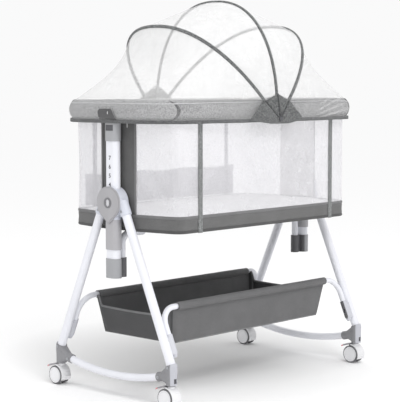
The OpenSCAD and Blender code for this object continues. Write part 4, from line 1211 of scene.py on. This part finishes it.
def make_gusset_foot(side, end):
    """Half of a gusset's straight foot, sewn to the hem under the pivot, which it follows."""
    tip = GUSSET_REACH[0 if end < 0 else -1]
    along = np.linspace(0, tip, 30)
    drop = np.interp(along, (40 * MM, tip), (14 * MM, 3 * MM)) + 0.6 * MM
    y = gusset_line(side, 90 * end, along / tip)[:, 1]
    grid = points_at(end * along, y, PIVOT_Z + 0.6 * MM - drop * np.linspace(0, 1, 9)[:, None])
    foot = grid_piece(f"gusset_foot_{HALVES[end]}_{SIDES[side]}", grid, GUSSET_CLOTH)
    thicken(foot, THIN_CLOTH)
    more = {"area": surface_area(grid)}
    if end < 0:
        apply_modifiers(foot)
        follow(foot, ("hoop_left",))
    else:
        more["with_pieces"] = [make_rivet(side)]
    hand_over_sheet(foot, "base_fabric", "bed" if end > 0 else None, (tip, 14 * MM),
                    ["canopy_hem_" + HALVES[end]], **more)


def make_canopy_part(part, bodies, tilt_a, tilt_b):
    """One panel of the net, with its slices of the two gussets."""
    tilts = even_tilts(min(tilt_a, tilt_b), max(tilt_a, tilt_b), 8 * MM)
    smooth = net_grid(tilts)
    flat = (max(length_of(row) for row in smooth), length_of(smooth[:, NET_COLUMNS // 2]))
    area = surface_area(smooth)
    net = grid_piece("net_" + part, net_slack(smooth, tilts), CANOPY_NET, uv=True)
    follow(net, bodies, tilt_a, tilt_b)
    first = part == "left_wing"
    held_by = [body for body in bodies if body != "bed"] + (["canopy_hem_left"] if first else [])
    hand_over_sheet(net, "mesh_fabric", None, flat, held_by, "canopy_net" if first else None, area=area)
    for side in SIDES:
        make_gusset(part, bodies, tilt_a, tilt_b, side)


def make_hem(end):
    """Elastic hem round one half of the rail, gathered in small puckers."""
    path = resample(np.column_stack([end * HEM[:, 0], HEM[:, 1], np.full(len(HEM), PIVOT_Z - 3 * MM)]), 220)
    path[:, 2] += 0.6 * MM * wobble(path * (1, 1, 0), 60 * MM)
    k = np.arange(len(path))
    pucker = 0.2 * MM * np.sin(k * 1.9) * np.where(k % 2, 1, -0.6)
    tape = superellipse(1.0 * MM, 5.2 * MM, 3.2, 16) + points_at(pucker, 0, 0)[:, None, :2]
    hem = capped("canopy_hem_" + HALVES[end], sweep_level(path, tape, sign=end), HEM_CLOTH)
    if end < 0:
        follow(hem, ("hoop_left",))
    hand_over_sheet(hem, "base_fabric", "bed" if end > 0 else None, (12.5 * MM, length_of(path)),
                    ["rail_cover_fabric"])


def make_hoop_sleeve(name):
    """Cloth sleeve sewn round one hoop rod, with raised ridges over the gussets whose extra darkness is
    painted shade.
    """
    tilt, a, b = HOOPS[name]
    t = np.radians(np.linspace(1.6, 178.4, 240))
    p = 2 / HOOP_POWER
    arch = np.stack([-a * np.sign(np.cos(t)) * np.abs(np.cos(t)) ** p, b * np.abs(np.sin(t)) ** p], axis=1)
    curve = resample(arch, 170)
    curve = curve[curve[:, 1] > 9 * MM]
    path = at_tilt(tilt, curve[:, 0], curve[:, 1])
    q = math.radians(tilt)
    axis = (math.cos(q), 0, -math.sin(q))
    section = superellipse(5.2 * MM, 2.9 * MM, 2.2, 20)
    grid = sweep_line(path, section, axis)
    row, column = np.indices(grid.shape[:2])
    swell = 1 + 0.07 * wobble(points_at(row * 0.3, column * 0.25, tilt), 1.0)
    grid = path[:, None] + (grid - path[:, None]) * swell[:, :, None]
    sleeve = grid_piece("hoop_sleeve_" + name, grid, HOOP_CLOTH, wrap_cols=True)
    thicken(sleeve, THIN_CLOTH, offset=-1)
    ridges = []
    for side, word in SIDES.items():
        line = gusset_line(side, tilt, np.linspace(0.10, 1.0, 16)) + (0, side * 0.9 * MM, 0)
        tube = sweep_line(line, superellipse(3.8 * MM, 1.7 * MM, 2.4, 14), axis)
        ridges.append(capped(f"hoop_ridge_{name}_{word}", tube, RIDGE_CLOTH_SHADED))
    hand_over_sheet(sleeve, "base_fabric", "hoop_" + name, (length_of(section, closed=True), length_of(path)),
                    ["hoop_" + name], with_pieces=ridges)


for end in HALVES:
    make_hem(end)
for canopy_part in CANOPY_PARTS:
    make_canopy_part(*canopy_part)
for side in SIDES:
    for end in ENDS:
        make_gusset_foot(side, end)
for hoop_name in HOOPS:
    make_hoop_sleeve(hoop_name)


# ---------- height numbers ----------
def make_number(end, digit, z):
    curve = bpy.data.curves.new(f"number {digit}", "FONT")
    curve.body = str(digit)
    curve.size = 16.5 * MM
    curve.align_x = "CENTER"
    curve.offset = 0.3 * MM
    curve.extrude = 0.12 * MM
    text = bpy.data.objects.new("number text", curve)
    bpy.context.scene.collection.objects.link(text)
    mesh = bpy.data.meshes.new_from_object(text.evaluated_get(bpy.context.evaluated_depsgraph_get()))
    bpy.data.objects.remove(text)
    mesh.materials.clear()
    mesh.materials.append(PRINT_INK)
    number = bpy.data.objects.new(f"number_{ENDS[end]}_{digit}", mesh)
    bpy.context.scene.collection.objects.link(number)
    number.rotation_euler = (math.pi / 2, 0, end * math.pi / 2)
    number.location = (end * (column_high.x + 0.1 * MM), 0, z - 6 * MM)
    hand_over(number, "bed")


for end in ENDS:
    for step, digit in enumerate((7, 6, 5, 4)):
        make_number(end, digit, NUMBER_TOP_Z - step * NUMBER_STEP)


# ---------- stage, light and camera ----------
CAMERA_PLACE, CAMERA_AIM = (-3.094, -2.819, 0.900), Vector((0.7293, 0.6788, -0.0862))
SHADE_CENTRE = (0.22, 0.34, 0)       # painted shadow: the floor is painted a little darker round here, behind the middle


def make_stage():
    floor = piece("floor", [(-30, -30, 0), (30, -30, 0), (30, 30, 0), (-30, 30, 0)], [(0, 1, 2, 3)], None)
    f = Finish("pale floor with painted shadow", 0.9)
    # the floor's colour darkens towards SHADE_CENTRE: a painted shadow under the bed
    away = f.ramp(f.vector("DISTANCE", f.place, SHADE_CENTRE)["Value"], 0.05, 0.62)
    f.set(Base_Color=f.mix(away, (0.72, 0.72, 0.72, 1), (1.0, 1.0, 1.0, 1)), Specular_IOR_Level=0.0)
    floor.data.materials.clear()
    floor.data.materials.append(f.material)
    world = bpy.data.worlds.new("studio")
    bpy.context.scene.world = world
    world.use_nodes = True
    sky = world.node_tree.nodes["Background"]
    sky.inputs["Color"].default_value = (0.955, 0.955, 0.957, 1)
    sky.inputs["Strength"].default_value = 1.0


def put(name, data, place, direction):
    """Adds a light or a camera that looks in a direction."""
    made = bpy.data.objects.new(name, data)
    made.location = place
    made.rotation_euler = direction.to_track_quat("-Z", "Y").to_euler()
    bpy.context.scene.collection.objects.link(made)
    return made


def soft_light(name, place, target, size, energy):
    data = bpy.data.lights.new(name, "AREA")
    data.shape = "DISK"
    data.size = size
    data.energy = energy
    put(name, data, place, Vector(target) - Vector(place))


def make_camera():
    data = bpy.data.cameras.new("camera")
    data.lens = 121.8
    data.sensor_width = 36
    data.clip_end = 200
    bpy.context.scene.camera = put("camera", data, CAMERA_PLACE, CAMERA_AIM)


bpy.context.scene.view_settings.view_transform = "Standard"
make_stage()
soft_light("key", (-1.4, -3.0, 3.2), (0, 0, 0.5), 1.6, 48)
soft_light("top", (-0.3, -0.5, 3.4), (0, 0, 0.3), 2.0, 9)
make_camera()
